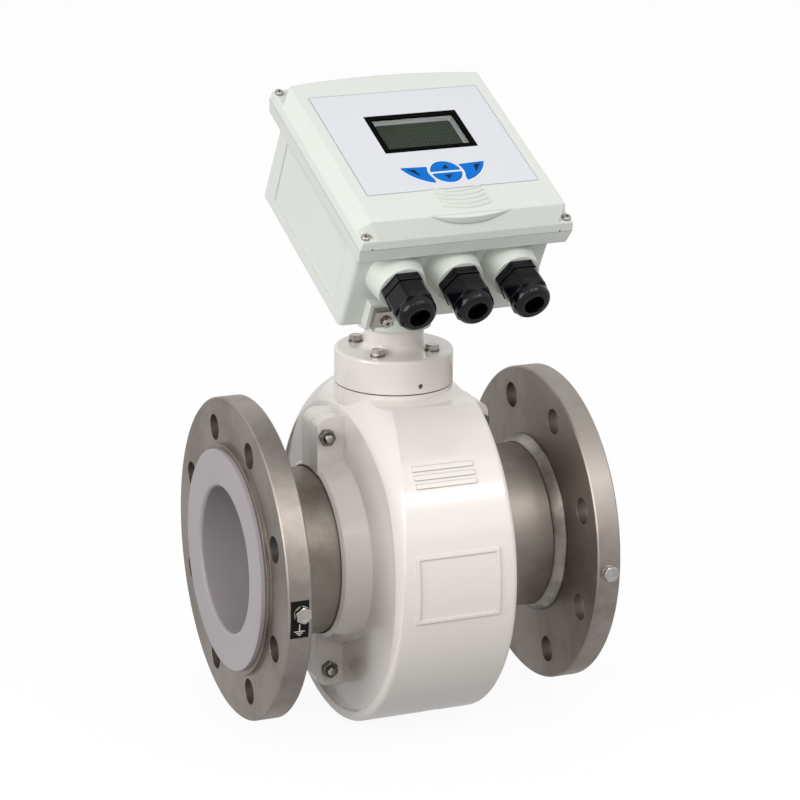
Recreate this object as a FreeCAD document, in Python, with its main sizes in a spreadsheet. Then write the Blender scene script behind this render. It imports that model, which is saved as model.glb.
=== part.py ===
import FreeCAD, Part
# Electromagnetic flow meter: flanged flow sensor, DN100, with a tilted transmitter on its neck.
# Frame: X runs along the pipe from inlet to outlet, +Z is up, Y points to the rear.
# The origin lies on the pipe's axis, half way between the two sealing faces.
import math
import os

import Sketcher

Vector = FreeCAD.Vector
Rotation = FreeCAD.Rotation
Placement = FreeCAD.Placement

# ---------------------------------------------------------------- driving dimensions (mm, degrees)
SIZES = {
    # flow tube, flanges and liner
    "meter_length": 250.0,
    "tube_radius": 57.15,
    "tube_wall": 3.0,
    "fit_gap": 0.1,
    "liner_thickness": 4.05,
    "flange_radius": 110.0,
    "flange_thickness": 17.0,
    "flange_chamfer": 1.0,
    "raised_face_radius": 79.0,
    "raised_face_height": 3.0,
    "bolt_circle_radius": 90.0,
    "bolt_hole_radius": 9.0,
    "bolt_count": 8,
    "weld_leg": 6.0,
    "flare_radius": 75.5,
    "flare_thickness": 3.0,
    "flare_lip_round": 2.6,
    # drum housing
    "drum_radius": 120.5,
    "drum_start": -47.0,
    "drum_width": 86.0,
    "drum_wall": 6.0,
    "drum_edge_round": 4.0,
    "drum_top_height": 109.0,
    "drum_foot_scoop": 2.7,
    "drum_foot_scoop_start": -14.0,
    "drum_foot_scoop_end": 14.0,
    "drum_foot_turn": -18.0,
    "shoulder_round": 38.0,
    "shoulder_shift": 20.0,
    "shoulder_direction": 80.0,
    "recess_radius": 108.5,
    "recess_drop": 4.0,
    "recess_depth": 4.0,
    "end_wall": 5.0,
    "hub_clearance": 0.85,
    "hub_tip_wall": 3.0,
    "hub_root_wall": 9.0,
    "hub_reach": 62.0,
    "seal_width": 7.0,
    "seal_inset": 2.0,
    # clamping lugs
    "lug_reach": 62.5,
    "lug_bolt_x_upper": 56.4,
    "lug_bolt_x_lower": 53.6,
    "lug_bolt_z": 83.6,
    "lug_arch_radius": 8.3,
    "lug_arch_z": 88.0,
    "lug_front_depth": 13.0,
    "lug_rear_depth": 16.0,
    "clamp_thread_radius": 3.0,
    "clamp_hex": 10.0,
    "clamp_nut_height": 5.0,
    "clamp_head_height": 4.0,
    "clamp_end_proud": 2.5,
    # raised marks on the drum
    "mark_height": 0.9,
    "plate_frame_left": -33.6,
    "plate_frame_width": 59.4,
    "plate_frame_low": -16.2,
    "plate_frame_height": 45.8,
    "plate_frame_bar": 2.4,
    "bar_left": -26.0,
    "bar_length": 43.0,
    "bar_low": 69.6,
    "bar_height": 2.7,
    "bar_pitch": 4.8,
    "bar_count": 3,
    # turret
    "turret_x": -2.5,
    "stub_radius": 40.3,
    "stub_top": 114.5,
    "saddle_radius": 55.0,
    "saddle_low": 105.5,
    "saddle_high": 111.5,
    "gasket_thickness": 0.8,
    "gasket_inset": 0.9,
    "cap_height": 23.2,
    "cap_round": 2.2,
    "neck_radius": 20.2,
    "neck_bore_radius": 14.5,
    "neck_foot_round": 5.0,
    "neck_spigot_radius": 18.0,
    "cap_bolt_circle_radius": 28.0,
    "cap_bolt_angle": 45.0,
    "cap_bolt_count": 4,
    "cap_bolt_thread_radius": 2.5,
    "cap_bolt_hex": 8.0,
    "cap_bolt_head_height": 3.5,
    "cap_bolt_length": 36.0,
    "cap_washer_radius": 5.0,
    "cap_washer_thickness": 1.0,
    "set_screw_radius": 1.6,
    "set_screw_length": 8.0,
    "set_screw_inset": 0.9,
    "set_screw_socket_depth": 1.5,
    "set_screw_angle": -85.3,
    "set_screw_rise": 5.0,
    # field coils and electrodes
    "coil_radius": 27.0,
    "coil_core_radius": 11.0,
    "coil_height": 12.5,
    "coil_inner_gap": 0.3,
    "magnet_height": 18.85,
    "pole_clearance": 1.1,
    "yoke_thickness": 3.0,
    "yoke_width": 44.0,
    "electrode_radius": 2.5,
    "electrode_head_radius": 5.0,
    "electrode_head_depth": 1.5,
    "electrode_reach": 14.85,
    "bush_radius": 5.0,
    "bush_reach": 6.85,
    # earthing screws on the flange rims
    "earth_x": 110.0,
    "earth_z": -1.2,
    "earth_thread_radius": 3.0,
    "earth_thread_length": 11.0,
    "earth_hex": 10.0,
    "earth_head_height": 4.2,
    "earth_washer_radius": 5.6,
    "earth_washer_thickness": 1.2,
    "label_width": 12.4,
    "label_top_angle": 3.9,
    "label_bottom_angle": -9.6,
    "label_thickness": 0.25,
    # transmitter: turn on the neck, tilt of the face and main planes along the tilted normal
    "head_turn": 3.0,
    "head_tilt": 26.1,
    "face_level": 276.6,
    "face_half_width": 68.5,
    "face_low": 13.2,
    "face_length": 143.5,
    "back_bulge": 4.4,
    "edge_half_width": 74.5,
    "edge_low": 7.5,
    "edge_length": 160.0,
    "edge_depth": 12.0,
    "parting_half_width": 75.3,
    "parting_low": 6.9,
    "parting_length": 161.2,
    "parting_depth": 18.0,
    "rim_half_width": 73.8,
    "rim_low": 8.2,
    "rim_length": 158.8,
    "rim_depth": 28.0,
    "parting_gap": 0.3,
    "lid_plate": 3.5,
    "lid_cavity_half_width": 64.0,
    "lid_cavity_low": 18.0,
    "lid_cavity_length": 134.0,
    "base_half_width": 69.5,
    "base_low": 18.4,
    "base_length": 138.4,
    "base_foot_low": 20.9,
    "base_foot_length": 138.7,
    "base_depth": 91.4,
    "base_wall": 3.5,
    "base_corner_round": 3.5,
    "panel_low": 34.0,
    "panel_length": 108.0,
    "panel_top_depth": 36.0,
    "panel_height": 47.0,
    "panel_recess": 0.8,
    "cover_seal_width": 3.0,
    "cover_seal_height": 1.6,
    "lid_screw_x": 71.3,
    "lid_screw_low": 11.5,
    "lid_screw_span": 152.6,
    "lid_pad_slope": 1.2,
    "lid_pad_reach": 12.0,
    "lid_screw_radius": 3.0,
    "lid_screw_thread_radius": 1.9,
    "lid_screw_head_height": 2.2,
    "lid_screw_length": 15.0,
    "lid_pad_depth": 11.0,
    # grip tongue and ridges under the keys
    "tongue_x": 1.6,
    "tongue_radius": 54.0,
    "tongue_low": 9.3,
    "tongue_thickness": 5.0,
    "ridge_radius": 46.0,
    "ridge_pitch": 4.2,
    "ridge_count": 5,
    "ridge_first": 22.5,
    "ridge_width": 1.5,
    "ridge_height": 0.6,
    "ridge_half_length": 17.0,
    # film, display and keys
    "film_half_width": 61.0,
    "film_low": 39.0,
    "film_length": 103.6,
    "film_thickness": 0.4,
    "film_inset": 0.3,
    "display_x": 1.7,
    "display_width": 66.4,
    "display_low": 79.0,
    "display_height": 39.1,
    "display_border": 4.0,
    "bezel_thickness": 0.6,
    "window_thickness": 1.0,
    "lcd_thickness": 2.0,
    "lcd_margin": 1.2,
    "board_thickness": 1.6,
    "board_margin": 8.0,
    "board_drop": 2.2,
    "post_radius": 3.0,
    "key_x": 1.5,
    "key_s": 55.4,
    "key_disc_radius": 10.6,
    "key_split": 2.2,
    "key_side_gap": 2.2,
    "key_side_top": 7.3,
    "key_side_bottom": 10.0,
    "key_waist": 6.0,
    "key_side_reach": 30.0,
    "key_side_round": 0.8,
    "key_thickness": 1.6,
    "key_proud": 0.5,
    "key_travel_room": 0.7,
    "key_gap": 0.25,
    "key_stem_radius": 1.5,
    "key_stem_length": 4.0,
    # neck socket of the base
    "socket_radius": 25.0,
    "socket_low_z": 154.0,
    "socket_top_z": 226.0,
    "swivel_gap": 0.08,
    "ring_radius": 25.0,
    "ring_height": 7.0,
    # cable glands
    "gland_pitch": 40.6,
    "gland_count": 3,
    "gland_depth": 49.0,
    "boss_face": 3.0,
    "boss_tip_radius": 16.3,
    "boss_root_radius": 19.5,
    "gland_hex": 27.0,
    "gland_hex_height": 6.0,
    "gland_flange_radius": 15.2,
    "gland_thread_radius": 10.0,
    "gland_thread_length": 27.0,
    "gland_bore_radius": 7.5,
    "gland_neck_length": 12.0,
    "gland_locknut_height": 4.0,
    "nut_gap": 0.8,
    "nut_length": 22.0,
    "nut_hex_length": 14.5,
    "nut_hex": 26.0,
    "nut_corner_radius": 14.4,
    "nut_tip_radius": 12.8,
    "nut_tip_round": 4.5,
    "nut_mouth_radius": 6.9,
    "seal_hole_radius": 4.5,
    "gland_seal_length": 14.0,
    "gland_seal_proud": 0.6,
    # outside earth terminal of the box
    "terminal_x": -44.0,
    "terminal_depth": 80.0,
    "terminal_pad": 20.0,
    "terminal_pad_height": 7.5,
    "terminal_plate": 15.0,
    "terminal_plate_thickness": 1.5,
    "terminal_lip": 3.5,
    "terminal_screw_shift": 3.3,
    "terminal_screw_drop": 3.9,
    "terminal_screw_radius": 2.0,
    "terminal_head_radius": 4.0,
    "terminal_head_height": 2.8,
    "terminal_screw_length": 9.0,
    # inside the box
    "board_side_gap": 8.0,
    "board_front_gap": 9.6,
    "board_rear_gap": 9.3,
    "inner_board_depth": 45.0,
    "block_width": 34.0,
    "block_count": 3,
    "block_pitch": 38.0,
    "block_inset": 4.0,
    "block_length": 12.0,
    "block_height": 14.0,
}

doc = FreeCAD.newDocument("flow_meter")
sheet = doc.addObject("Spreadsheet::Sheet", "Dim")
sheet.set("A1", "dimension")
sheet.set("B1", "value")
for row, (alias, value) in enumerate(SIZES.items(), start=2):
    sheet.set(f"A{row}", alias)
    sheet.set(f"B{row}", str(value))
    sheet.setAlias(f"B{row}", alias)
doc.recompute()

UP = Rotation()
ALONG_X = Rotation(Vector(0, 1, 0), 90)
AGAINST_X = Rotation(Vector(0, 1, 0), -90)
ALONG_Y = Rotation(Vector(1, 0, 0), -90)
AGAINST_Y = Rotation(Vector(1, 0, 0), 90)

# the bore that is left inside the liner, and how far the electrodes reach from the pipe's axis
BORE = "(Dim.tube_radius - Dim.tube_wall - Dim.fit_gap - Dim.liner_thickness)"
ELECTRODE_END = "(Dim.tube_radius + Dim.electrode_reach)"

NODES = []


def size(alias):
    """The value of one cell of the sheet."""
    return float(sheet.get(alias))


# ---------------------------------------------------------------- building helpers
def bound(kind, name, turn=UP, at=("0", "0", "0"), **expressions):
    """One document object whose properties and place follow the sheet."""
    made = doc.addObject(kind, name)
    made.Placement = Placement(Vector(), turn)
    for axis, expression in zip("xyz", at):
        if expression != "0":
            made.setExpression(f"Placement.Base.{axis}", expression)
    for prop, expression in expressions.items():
        made.setExpression(prop, expression)
    return made


def cylinder(name, radius, height, turn=UP, at=("0", "0", "0")):
    return bound("Part::Cylinder", name, turn, at, Radius=radius, Height=height)


def cone(name, radius, end_radius, height, turn=UP, at=("0", "0", "0")):
    return bound("Part::Cone", name, turn, at, Radius1=radius, Radius2=end_radius, Height=height)


def box(name, length, width, height, at=("0", "0", "0")):
    return bound("Part::Box", name, UP, at, Length=length, Width=width, Height=height)


def prism(name, across_flats, height, turn=UP, at=("0", "0", "0")):
    made = bound("Part::Prism", name, turn, at, Height=height)
    made.Polygon = 6
    made.setExpression("Circumradius", f"({across_flats}) / (2 * cos(30))")
    return made


def fuse(name, shapes):
    made = doc.addObject("Part::MultiFuse", name)
    made.Shapes = shapes
    return made


def cut(name, base, tools):
    """The base less every tool."""
    tool = tools[0] if len(tools) == 1 else fuse(f"{name}_tools", tools)
    made = doc.addObject("Part::Cut", name)
    made.Base = base
    made.Tool = tool
    return made


def common(name, shapes):
    made = doc.addObject("Part::MultiCommon", name)
    made.Shapes = shapes
    return made


def compound(name, links):
    made = doc.addObject("Part::Compound", name)
    made.Links = links
    return made


def rounded(name, base, radius, wanted):
    """The base with the edges for which wanted(edge) is true rounded to the radius."""
    doc.recompute()
    made = doc.addObject("Part::Fillet", name)
    made.Base = base
    edges = [number for number, edge in enumerate(base.Shape.Edges, start=1) if wanted(edge)]
    made.Edges = [(number, radius, radius) for number in edges]
    doc.recompute()
    return made


def origin_plane(body, role):
    """One of the body's own origin planes."""
    return next(feature for feature in body.Origin.OriginFeatures if feature.Role == role)


def profile(body, role, corners):
    """A closed outline on an origin plane, each corner held by two expressions."""
    sketch = body.newObject("Sketcher::SketchObject", f"{body.Name}_outline")
    sketch.AttachmentSupport = [(origin_plane(body, role), "")]
    sketch.MapMode = "FlatFace"
    points = [Vector(evaluate(across), evaluate(up), 0) for across, up in corners]
    count = len(points)
    for index in range(count):
        sketch.addGeometry(Part.LineSegment(points[index], points[(index + 1) % count]))
    for index in range(count):
        sketch.addConstraint(Sketcher.Constraint("Coincident", index, 2, (index + 1) % count, 1))
    for index, (across, up) in enumerate(corners):
        hold(sketch, "DistanceX", index, across, points[index].x)
        hold(sketch, "DistanceY", index, up, points[index].y)
    return sketch


def hold(sketch, kind, index, expression, value):
    """Hold one corner's distance from the sketch origin."""
    number = sketch.addConstraint(Sketcher.Constraint(kind, -1, 1, index, 1, value))
    sketch.setExpression(f"Constraints[{number}]", expression)


def evaluate(expression):
    """The present value of an expression in the sheet's terms."""
    result = sheet.evalExpression(expression.replace("Dim.", ""))
    return float(getattr(result, "Value", result))


def turned_body(name, corners, axis="H_Axis", role="XY_Plane"):
    """A body turned from an outline: about X from (x, r) corners, or about Z from (r, z) corners."""
    body = doc.addObject("PartDesign::Body", name)
    sketch = profile(body, role, corners)
    revolution = body.newObject("PartDesign::Revolution", f"{name}_turned")
    revolution.Profile = sketch
    revolution.ReferenceAxis = (sketch, [axis])
    revolution.Angle = 360
    sketch.Visibility = False
    doc.recompute()
    return body


def dress_circles(body, feature, radius_expression, wanted):
    """Fillet or chamfer the circular edges of a body for which wanted(radius, centre) is true."""
    base = body.Tip
    names = []
    for number, edge in enumerate(base.Shape.Edges, start=1):
        if isinstance(edge.Curve, Part.Circle) and wanted(edge.Curve.Radius, edge.Curve.Center):
            names.append(f"Edge{number}")
    dressed = body.newObject(f"PartDesign::{feature}", f"{body.Name}_{feature.lower()}_{base.Name}")
    dressed.Base = (base, names)
    dressed.setExpression("Radius" if feature == "Fillet" else "Size", radius_expression)
    doc.recompute()


def near(value, target, reach=0.01):
    return abs(value - target) < reach


def node(made, name):
    """Name a finished sub-part after its node."""
    made.Label = name
    NODES.append(made)
    return made


def polar(count, radius, first, centre=(0.0, 0.0)):
    """Points of a bolt circle in the XY plane."""
    turns = [math.radians(first + 360.0 * index / count) for index in range(count)]
    return [(centre[0] + radius * math.cos(turn), centre[1] + radius * math.sin(turn)) for turn in turns]


def hex_screw(name, hexagon, head_height, thread_radius, length, turn, at):
    """A hexagon head screw: the head stands on the seat at the given place, the thread goes below it."""
    head = prism(f"{name}_head", hexagon, head_height)
    thread = cylinder(f"{name}_thread", thread_radius, f"({length}) + 1", at=("0", "0", f"-({length})"))
    screw = fuse(name, [head, thread])
    screw.Placement = Placement(at, turn)
    return screw


def head_place(local=Placement()):
    """A place in the transmitter's own tilted frame, given in the sensor's frame."""
    turn = Rotation(Vector(0, 0, 1), size("head_turn")) * Rotation(Vector(1, 0, 0), size("head_tilt"))
    return Placement(Vector(size("turret_x"), 0, 0), turn).multiply(local)


def feature(name, shape, place=Placement()):
    """A sub-part whose form is worked out from the sheet's values."""
    made = doc.addObject("Part::Feature", name)
    made.Shape = shape
    made.Placement = place
    return made


def block(x_low, x_high, y_low, y_high, z_low, z_high):
    """A plain box between limits."""
    return Part.makeBox(x_high - x_low, y_high - y_low, z_high - z_low, Vector(x_low, y_low, z_low))


def rod(radius, start, end):
    """A cylinder between two points."""
    return Part.makeCylinder(radius, (end - start).Length, start, end - start)


def join(shapes):
    """One clean solid from overlapping shapes."""
    solids = [solid for shape in shapes for solid in shape.Solids]
    return solids[0].multiFuse(solids[1:]).removeSplitter()


def prism_between(points, depth):
    """A straight prism on a closed outline."""
    return Part.Face(Part.makePolygon(points + points[:1])).extrude(depth)


# ---------------------------------------------------------------- flow tube, liner and flanges
def flow_tube():
    end = "(Dim.meter_length / 2 - Dim.flare_thickness)"
    inner = "(Dim.tube_radius - Dim.tube_wall)"
    body = turned_body("tube_blank", [
        (f"-{end}", inner), (end, inner), (end, "Dim.tube_radius"), (f"-{end}", "Dim.tube_radius"),
    ])
    ports = cylinder("electrode_ports", "Dim.bush_radius + Dim.fit_gap", f"2 * {ELECTRODE_END}",
                     ALONG_Y, ("0", f"-{ELECTRODE_END}", "0"))
    return node(cut("flow_tube", body, [ports]), "flow_tube")


def liner():
    end = "Dim.meter_length / 2"
    back = "(Dim.meter_length / 2 - Dim.flare_thickness)"
    outer = "(Dim.tube_radius - Dim.tube_wall - Dim.fit_gap)"
    body = turned_body("liner_blank", [
        (f"-{end}", BORE), (end, BORE), (end, "Dim.flare_radius"),
        (back, "Dim.flare_radius"), (back, outer), (f"-{back}", outer),
        (f"-{back}", "Dim.flare_radius"), (f"-{end}", "Dim.flare_radius"),
    ])
    bore, half = evaluate(BORE), size("meter_length") / 2
    dress_circles(body, "Fillet", "Dim.flare_lip_round",
                  lambda radius, centre: near(radius, bore) and near(abs(centre.x), half))
    ports = cylinder("liner_ports", "Dim.electrode_radius + Dim.fit_gap", f"2 * {ELECTRODE_END}",
                     ALONG_Y, ("0", f"-{ELECTRODE_END}", "0"))
    seat = f"({BORE} + Dim.electrode_head_depth + 2 * Dim.fit_gap)"
    pockets = cylinder("liner_pockets", "Dim.electrode_head_radius + Dim.fit_gap", f"2 * {seat}",
                       ALONG_Y, ("0", f"-{seat}", "0"))
    return node(cut("liner", body, [ports, pockets]), "liner")


def flange(name, side):
    """A slip-on flange; side is -1 at the inlet and 1 at the outlet."""
    seal = f"{side} * (Dim.meter_length / 2 - Dim.flare_thickness)"
    face = f"{side} * (Dim.meter_length / 2 - Dim.flare_thickness - Dim.raised_face_height)"
    back = (f"{side} * (Dim.meter_length / 2 - Dim.flare_thickness - Dim.raised_face_height"
            " - Dim.flange_thickness)")
    bore = "(Dim.tube_radius + Dim.fit_gap)"
    body = turned_body(f"{name}_blank", [
        (seal, bore), (seal, "Dim.raised_face_radius"), (face, "Dim.raised_face_radius"),
        (face, "Dim.flange_radius"), (back, "Dim.flange_radius"), (back, bore),
    ])
    rim = size("flange_radius")
    dress_circles(body, "Chamfer", "Dim.flange_chamfer", lambda radius, centre: near(radius, rim))
    drill_bolt_circle(body)
    tapped = cylinder(f"{name}_tapping", "Dim.earth_thread_radius + Dim.fit_gap", "Dim.earth_thread_length + 1",
                      AGAINST_Y, (f"{side} * Dim.earth_x",
                                  "1 - Dim.flange_radius - Dim.earth_washer_thickness + Dim.earth_thread_length",
                                  "Dim.earth_z"))
    return node(cut(name, body, [tapped]), name)


def drill_bolt_circle(body):
    """The flange's bolt holes, straddling the centre lines."""
    sketch = body.newObject("Sketcher::SketchObject", f"{body.Name}_hole")
    sketch.AttachmentSupport = [(origin_plane(body, "YZ_Plane"), "")]
    sketch.MapMode = "FlatFace"
    turn = math.pi / size("bolt_count")
    reach = size("bolt_circle_radius")
    centre = Vector(reach * math.cos(turn), reach * math.sin(turn), 0)
    sketch.addGeometry(Part.Circle(centre, Vector(0, 0, 1), size("bolt_hole_radius")))
    radius = sketch.addConstraint(Sketcher.Constraint("Radius", 0, size("bolt_hole_radius")))
    sketch.setExpression(f"Constraints[{radius}]", "Dim.bolt_hole_radius")
    across = sketch.addConstraint(Sketcher.Constraint("DistanceX", -1, 1, 0, 3, centre.x))
    sketch.setExpression(f"Constraints[{across}]", "Dim.bolt_circle_radius * cos(180 / Dim.bolt_count)")
    up = sketch.addConstraint(Sketcher.Constraint("DistanceY", -1, 1, 0, 3, centre.y))
    sketch.setExpression(f"Constraints[{up}]", "Dim.bolt_circle_radius * sin(180 / Dim.bolt_count)")
    drilled = body.newObject("PartDesign::Pocket", f"{body.Name}_drilled")
    drilled.Profile = sketch
    drilled.Type = "ThroughAll"
    drilled.Midplane = True
    sketch.Visibility = False
    pattern = body.newObject("PartDesign::PolarPattern", f"{body.Name}_bolt_circle")
    pattern.Originals = [drilled]
    pattern.Axis = (sketch, ["N_Axis"])
    pattern.Angle = 360
    pattern.setExpression("Occurrences", "Dim.bolt_count")
    body.Tip = pattern
    doc.recompute()


def weld_beads():
    beads = []
    for side, turn in ((-1, ALONG_X), (1, AGAINST_X)):
        seat = (f"{side} * (Dim.meter_length / 2 - Dim.flare_thickness - Dim.raised_face_height"
                " - Dim.flange_thickness)")
        bead = cone(f"weld_{side + 1}_bead", "Dim.tube_radius + Dim.weld_leg",
                    "Dim.tube_radius + Dim.weld_leg / 5",
                    "Dim.weld_leg", turn, (seat, "0", "0"))
        core = cylinder(f"weld_{side + 1}_core", "Dim.tube_radius + Dim.fit_gap / 2", "Dim.weld_leg", turn,
                        (seat, "0", "0"))
        beads.append(cut(f"weld_{side + 1}", bead, [core]))
    return node(compound("weld_beads", beads), "weld_beads")


def earth_screws():
    screws = []
    washers = []
    rim = size("flange_radius")
    seat = rim + size("earth_washer_thickness")
    for number, side in enumerate((-1, 1)):
        place = Vector(side * size("earth_x"), -seat, size("earth_z"))
        screws.append(hex_screw(f"earth_screw_{number}", "Dim.earth_hex", "Dim.earth_head_height",
                                "Dim.earth_thread_radius", "Dim.earth_thread_length", AGAINST_Y, place))
        ring = cylinder(f"earth_ring_{number}", "Dim.earth_washer_radius",
                        "Dim.earth_washer_thickness - Dim.fit_gap / 2", AGAINST_Y,
                        (f"{side} * Dim.earth_x", "-Dim.flange_radius - Dim.fit_gap / 2", "Dim.earth_z"))
        hole = cylinder(f"earth_ring_hole_{number}", "Dim.earth_thread_radius + Dim.fit_gap",
                        "Dim.earth_washer_thickness", AGAINST_Y,
                        (f"{side} * Dim.earth_x", "-Dim.flange_radius", "Dim.earth_z"))
        washers.append(cut(f"earth_washer_{number}", ring, [hole]))
    node(compound("flange_earth_screws", screws), "flange_earth_screws")
    node(compound("flange_earth_washers", washers), "flange_earth_washers")


def earth_label():
    """A thin plate bent round the rim of the inlet flange, holed for the earthing screw."""
    inner = size("flange_radius") + size("fit_gap") / 2
    outer = inner + size("label_thickness")
    left = -size("earth_x") - size("label_width") / 2 - 1
    sheet_ring = rod(outer, Vector(left, 0, 0), Vector(left + size("label_width"), 0, 0))
    core = rod(inner, Vector(left, 0, 0), Vector(left + size("label_width"), 0, 0))
    low = outer * math.sin(math.radians(size("label_bottom_angle")))
    high = outer * math.sin(math.radians(size("label_top_angle")))
    window = block(left, left + size("label_width"), -outer - 1, 0, low, high)
    hole = rod(size("earth_washer_radius") + size("fit_gap"),
               Vector(-size("earth_x"), -outer - 1, size("earth_z")),
               Vector(-size("earth_x"), 0, size("earth_z")))
    return node(feature("earth_label", sheet_ring.cut(core).common(window).cut(hole)), "earth_label")


# ---------------------------------------------------------------- measuring insides
def measuring_insides():
    electrodes = []
    bushes = []
    for side, turn in ((-1, AGAINST_Y), (1, ALONG_Y)):
        start = f"{side} * ({BORE} + Dim.fit_gap)"
        head = cylinder(f"electrode_head_{side + 1}", "Dim.electrode_head_radius",
                        "Dim.electrode_head_depth", turn, ("0", start, "0"))
        pin = cylinder(f"electrode_pin_{side + 1}", "Dim.electrode_radius",
                       f"{ELECTRODE_END} - {BORE} - Dim.fit_gap", turn, ("0", start, "0"))
        electrodes.append(fuse(f"electrode_{side + 1}", [head, pin]))
        foot = f"{side} * (Dim.tube_radius - Dim.tube_wall + Dim.fit_gap * 3)"
        bush = cylinder(f"bush_blank_{side + 1}", "Dim.bush_radius",
                        "Dim.bush_reach + Dim.tube_wall", turn, ("0", foot, "0"))
        bore = cylinder(f"bush_bore_{side + 1}", "Dim.electrode_radius + Dim.fit_gap",
                        "Dim.bush_reach + Dim.tube_wall", turn,
                        ("0", foot, "0"))
        bushes.append(cut(f"bush_{side + 1}", bush, [bore]))
    node(compound("measuring_electrodes", electrodes), "measuring_electrodes")
    node(compound("electrode_bushes", bushes), "electrode_bushes")

    middle = "(Dim.drum_start + Dim.drum_width / 2)"
    cores = []
    coils = []
    for side, turn in ((-1, AGAINST_X), (1, ALONG_X)):
        direction = UP if side > 0 else Rotation(Vector(1, 0, 0), 180)
        foot = f"{side} * (Dim.tube_radius + Dim.coil_inner_gap)"
        reach = "Dim.magnet_height - Dim.coil_inner_gap - Dim.pole_clearance"
        core = cylinder(f"core_{side + 1}", "Dim.coil_core_radius", reach, direction, (middle, "0", foot))
        cores.append(core)
        winding = cylinder(f"winding_{side + 1}", "Dim.coil_radius", "Dim.coil_height", direction,
                           (middle, "0", foot))
        hole = cylinder(f"winding_hole_{side + 1}", "Dim.coil_core_radius + Dim.fit_gap", reach, direction,
                        (middle, "0", foot))
        coils.append(cut(f"coil_{side + 1}", winding, [hole]))
    node(compound("pole_cores", cores), "pole_cores")
    node(compound("field_coils", coils), "field_coils")
    inner = "Dim.tube_radius + Dim.magnet_height"
    ring = cylinder("yoke_ring", f"{inner} + Dim.yoke_thickness", "Dim.yoke_width", ALONG_X,
                    (f"{middle} - Dim.yoke_width / 2", "0", "0"))
    core = cylinder("yoke_core", inner, "Dim.yoke_width", ALONG_X,
                    (f"{middle} - Dim.yoke_width / 2", "0", "0"))
    node(cut("field_yoke", ring, [core]), "field_yoke")


# ---------------------------------------------------------------- drum housing in two halves
def disc(radius, start, width, edge_round, centre_y=0.0, centre_z=0.0):
    """A disc across the pipe with both rims rounded."""
    shape = rod(radius, Vector(start, centre_y, centre_z), Vector(start + width, centre_y, centre_z))
    rims = [edge for edge in shape.Edges if isinstance(edge.Curve, Part.Circle)]
    return shape.makeFillet(edge_round, rims).Solids[0]


def shouldered(shape, radius, start, width, edge_round):
    """The shape trimmed by a larger disc set off centre, which rounds the inlet rim most at the upper rear."""
    shift = size("shoulder_shift")
    turn = math.radians(size("shoulder_direction"))
    spare = size("fit_gap") / 2
    centre = Vector(start - spare, -shift * math.cos(turn), -shift * math.sin(turn))
    wide = rod(radius + shift + spare, centre, centre + Vector(width + 2 * spare, 0, 0))
    rim = [edge for edge in wide.Edges if isinstance(edge.Curve, Part.Circle)
           and near(edge.CenterOfMass.x, start - spare)]
    return shape.common(wide.makeFillet(edge_round, rim).Solids[0]).Solids[0]


def drum_shell():
    """The outside of the drum, with its top flat, its seat for the turret and the hollow inside."""
    radius, start, width = size("drum_radius"), size("drum_start"), size("drum_width")
    end = start + width
    top = size("drum_top_height")
    turret = Vector(size("turret_x"), 0, 0)
    outside = disc(radius, start, width, size("drum_edge_round"))
    outside = outside.common(block(start, end, -radius, radius, -radius, top))
    low, high = size("saddle_low"), size("saddle_high")
    seat = Part.makeCone(size("saddle_radius"), size("stub_radius"), high - low, turret + Vector(0, 0, low))
    seat = seat.common(block(start, end, -radius, radius, 0, high))
    outside = shouldered(join([outside, seat]), radius, start, width, size("shoulder_round"))
    stub = rod(size("stub_radius"), turret + Vector(0, 0, top - size("drum_wall")),
               turret + Vector(0, 0, size("stub_top")))
    stub = stub.common(block(start, end, -radius, radius, 0, size("stub_top")))
    return join([outside, stub])


def drum_cavity():
    """The hollow that holds the coils and the electrodes."""
    inside = size("recess_depth") + size("end_wall")
    start = size("drum_start") + inside
    width = size("drum_width") - 2 * inside
    radius = size("drum_radius") - size("drum_wall")
    lid = size("drum_top_height") - size("drum_wall")
    hollow = disc(radius, start, width, size("drum_edge_round"))
    hollow = hollow.common(block(start, start + width, -radius, radius, -radius, lid))
    return shouldered(hollow, radius, start, width, size("shoulder_round") - size("drum_edge_round"))


def end_recess(side):
    """The shallow recess in an end face of the drum."""
    depth = size("recess_depth")
    face = size("drum_start") if side < 0 else size("drum_start") + size("drum_width")
    centre = Vector(face, -size("recess_drop"), -size("recess_drop"))
    return rod(size("recess_radius"), centre, centre - Vector(side * depth, 0, 0))


def floor_x(side):
    """Where the floor of the end recess lies along the pipe."""
    face = size("drum_start") if side < 0 else size("drum_start") + size("drum_width")
    return face - side * size("recess_depth")


def hub_bore():
    return size("tube_radius") + size("hub_clearance")


def hub(side):
    """The conical collar round the pipe."""
    root = floor_x(side) - side * size("end_wall") / 2
    reach = side * size("hub_reach")
    rolled = size("hub_tip_wall") * 2 / 3
    inner, outer = hub_bore() - size("fit_gap"), hub_bore() + size("hub_root_wall")
    outline = [
        Vector(root, 0, inner), Vector(root, 0, outer), Vector(floor_x(side), 0, outer),
        Vector(reach - side * rolled, 0, hub_bore() + size("hub_tip_wall")),
        Vector(reach, 0, hub_bore() + rolled / 2), Vector(reach, 0, inner),
    ]
    face = Part.Face(Part.makePolygon(outline + outline[:1]))
    return face.revolve(Vector(), Vector(1, 0, 0), 360)


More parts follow.
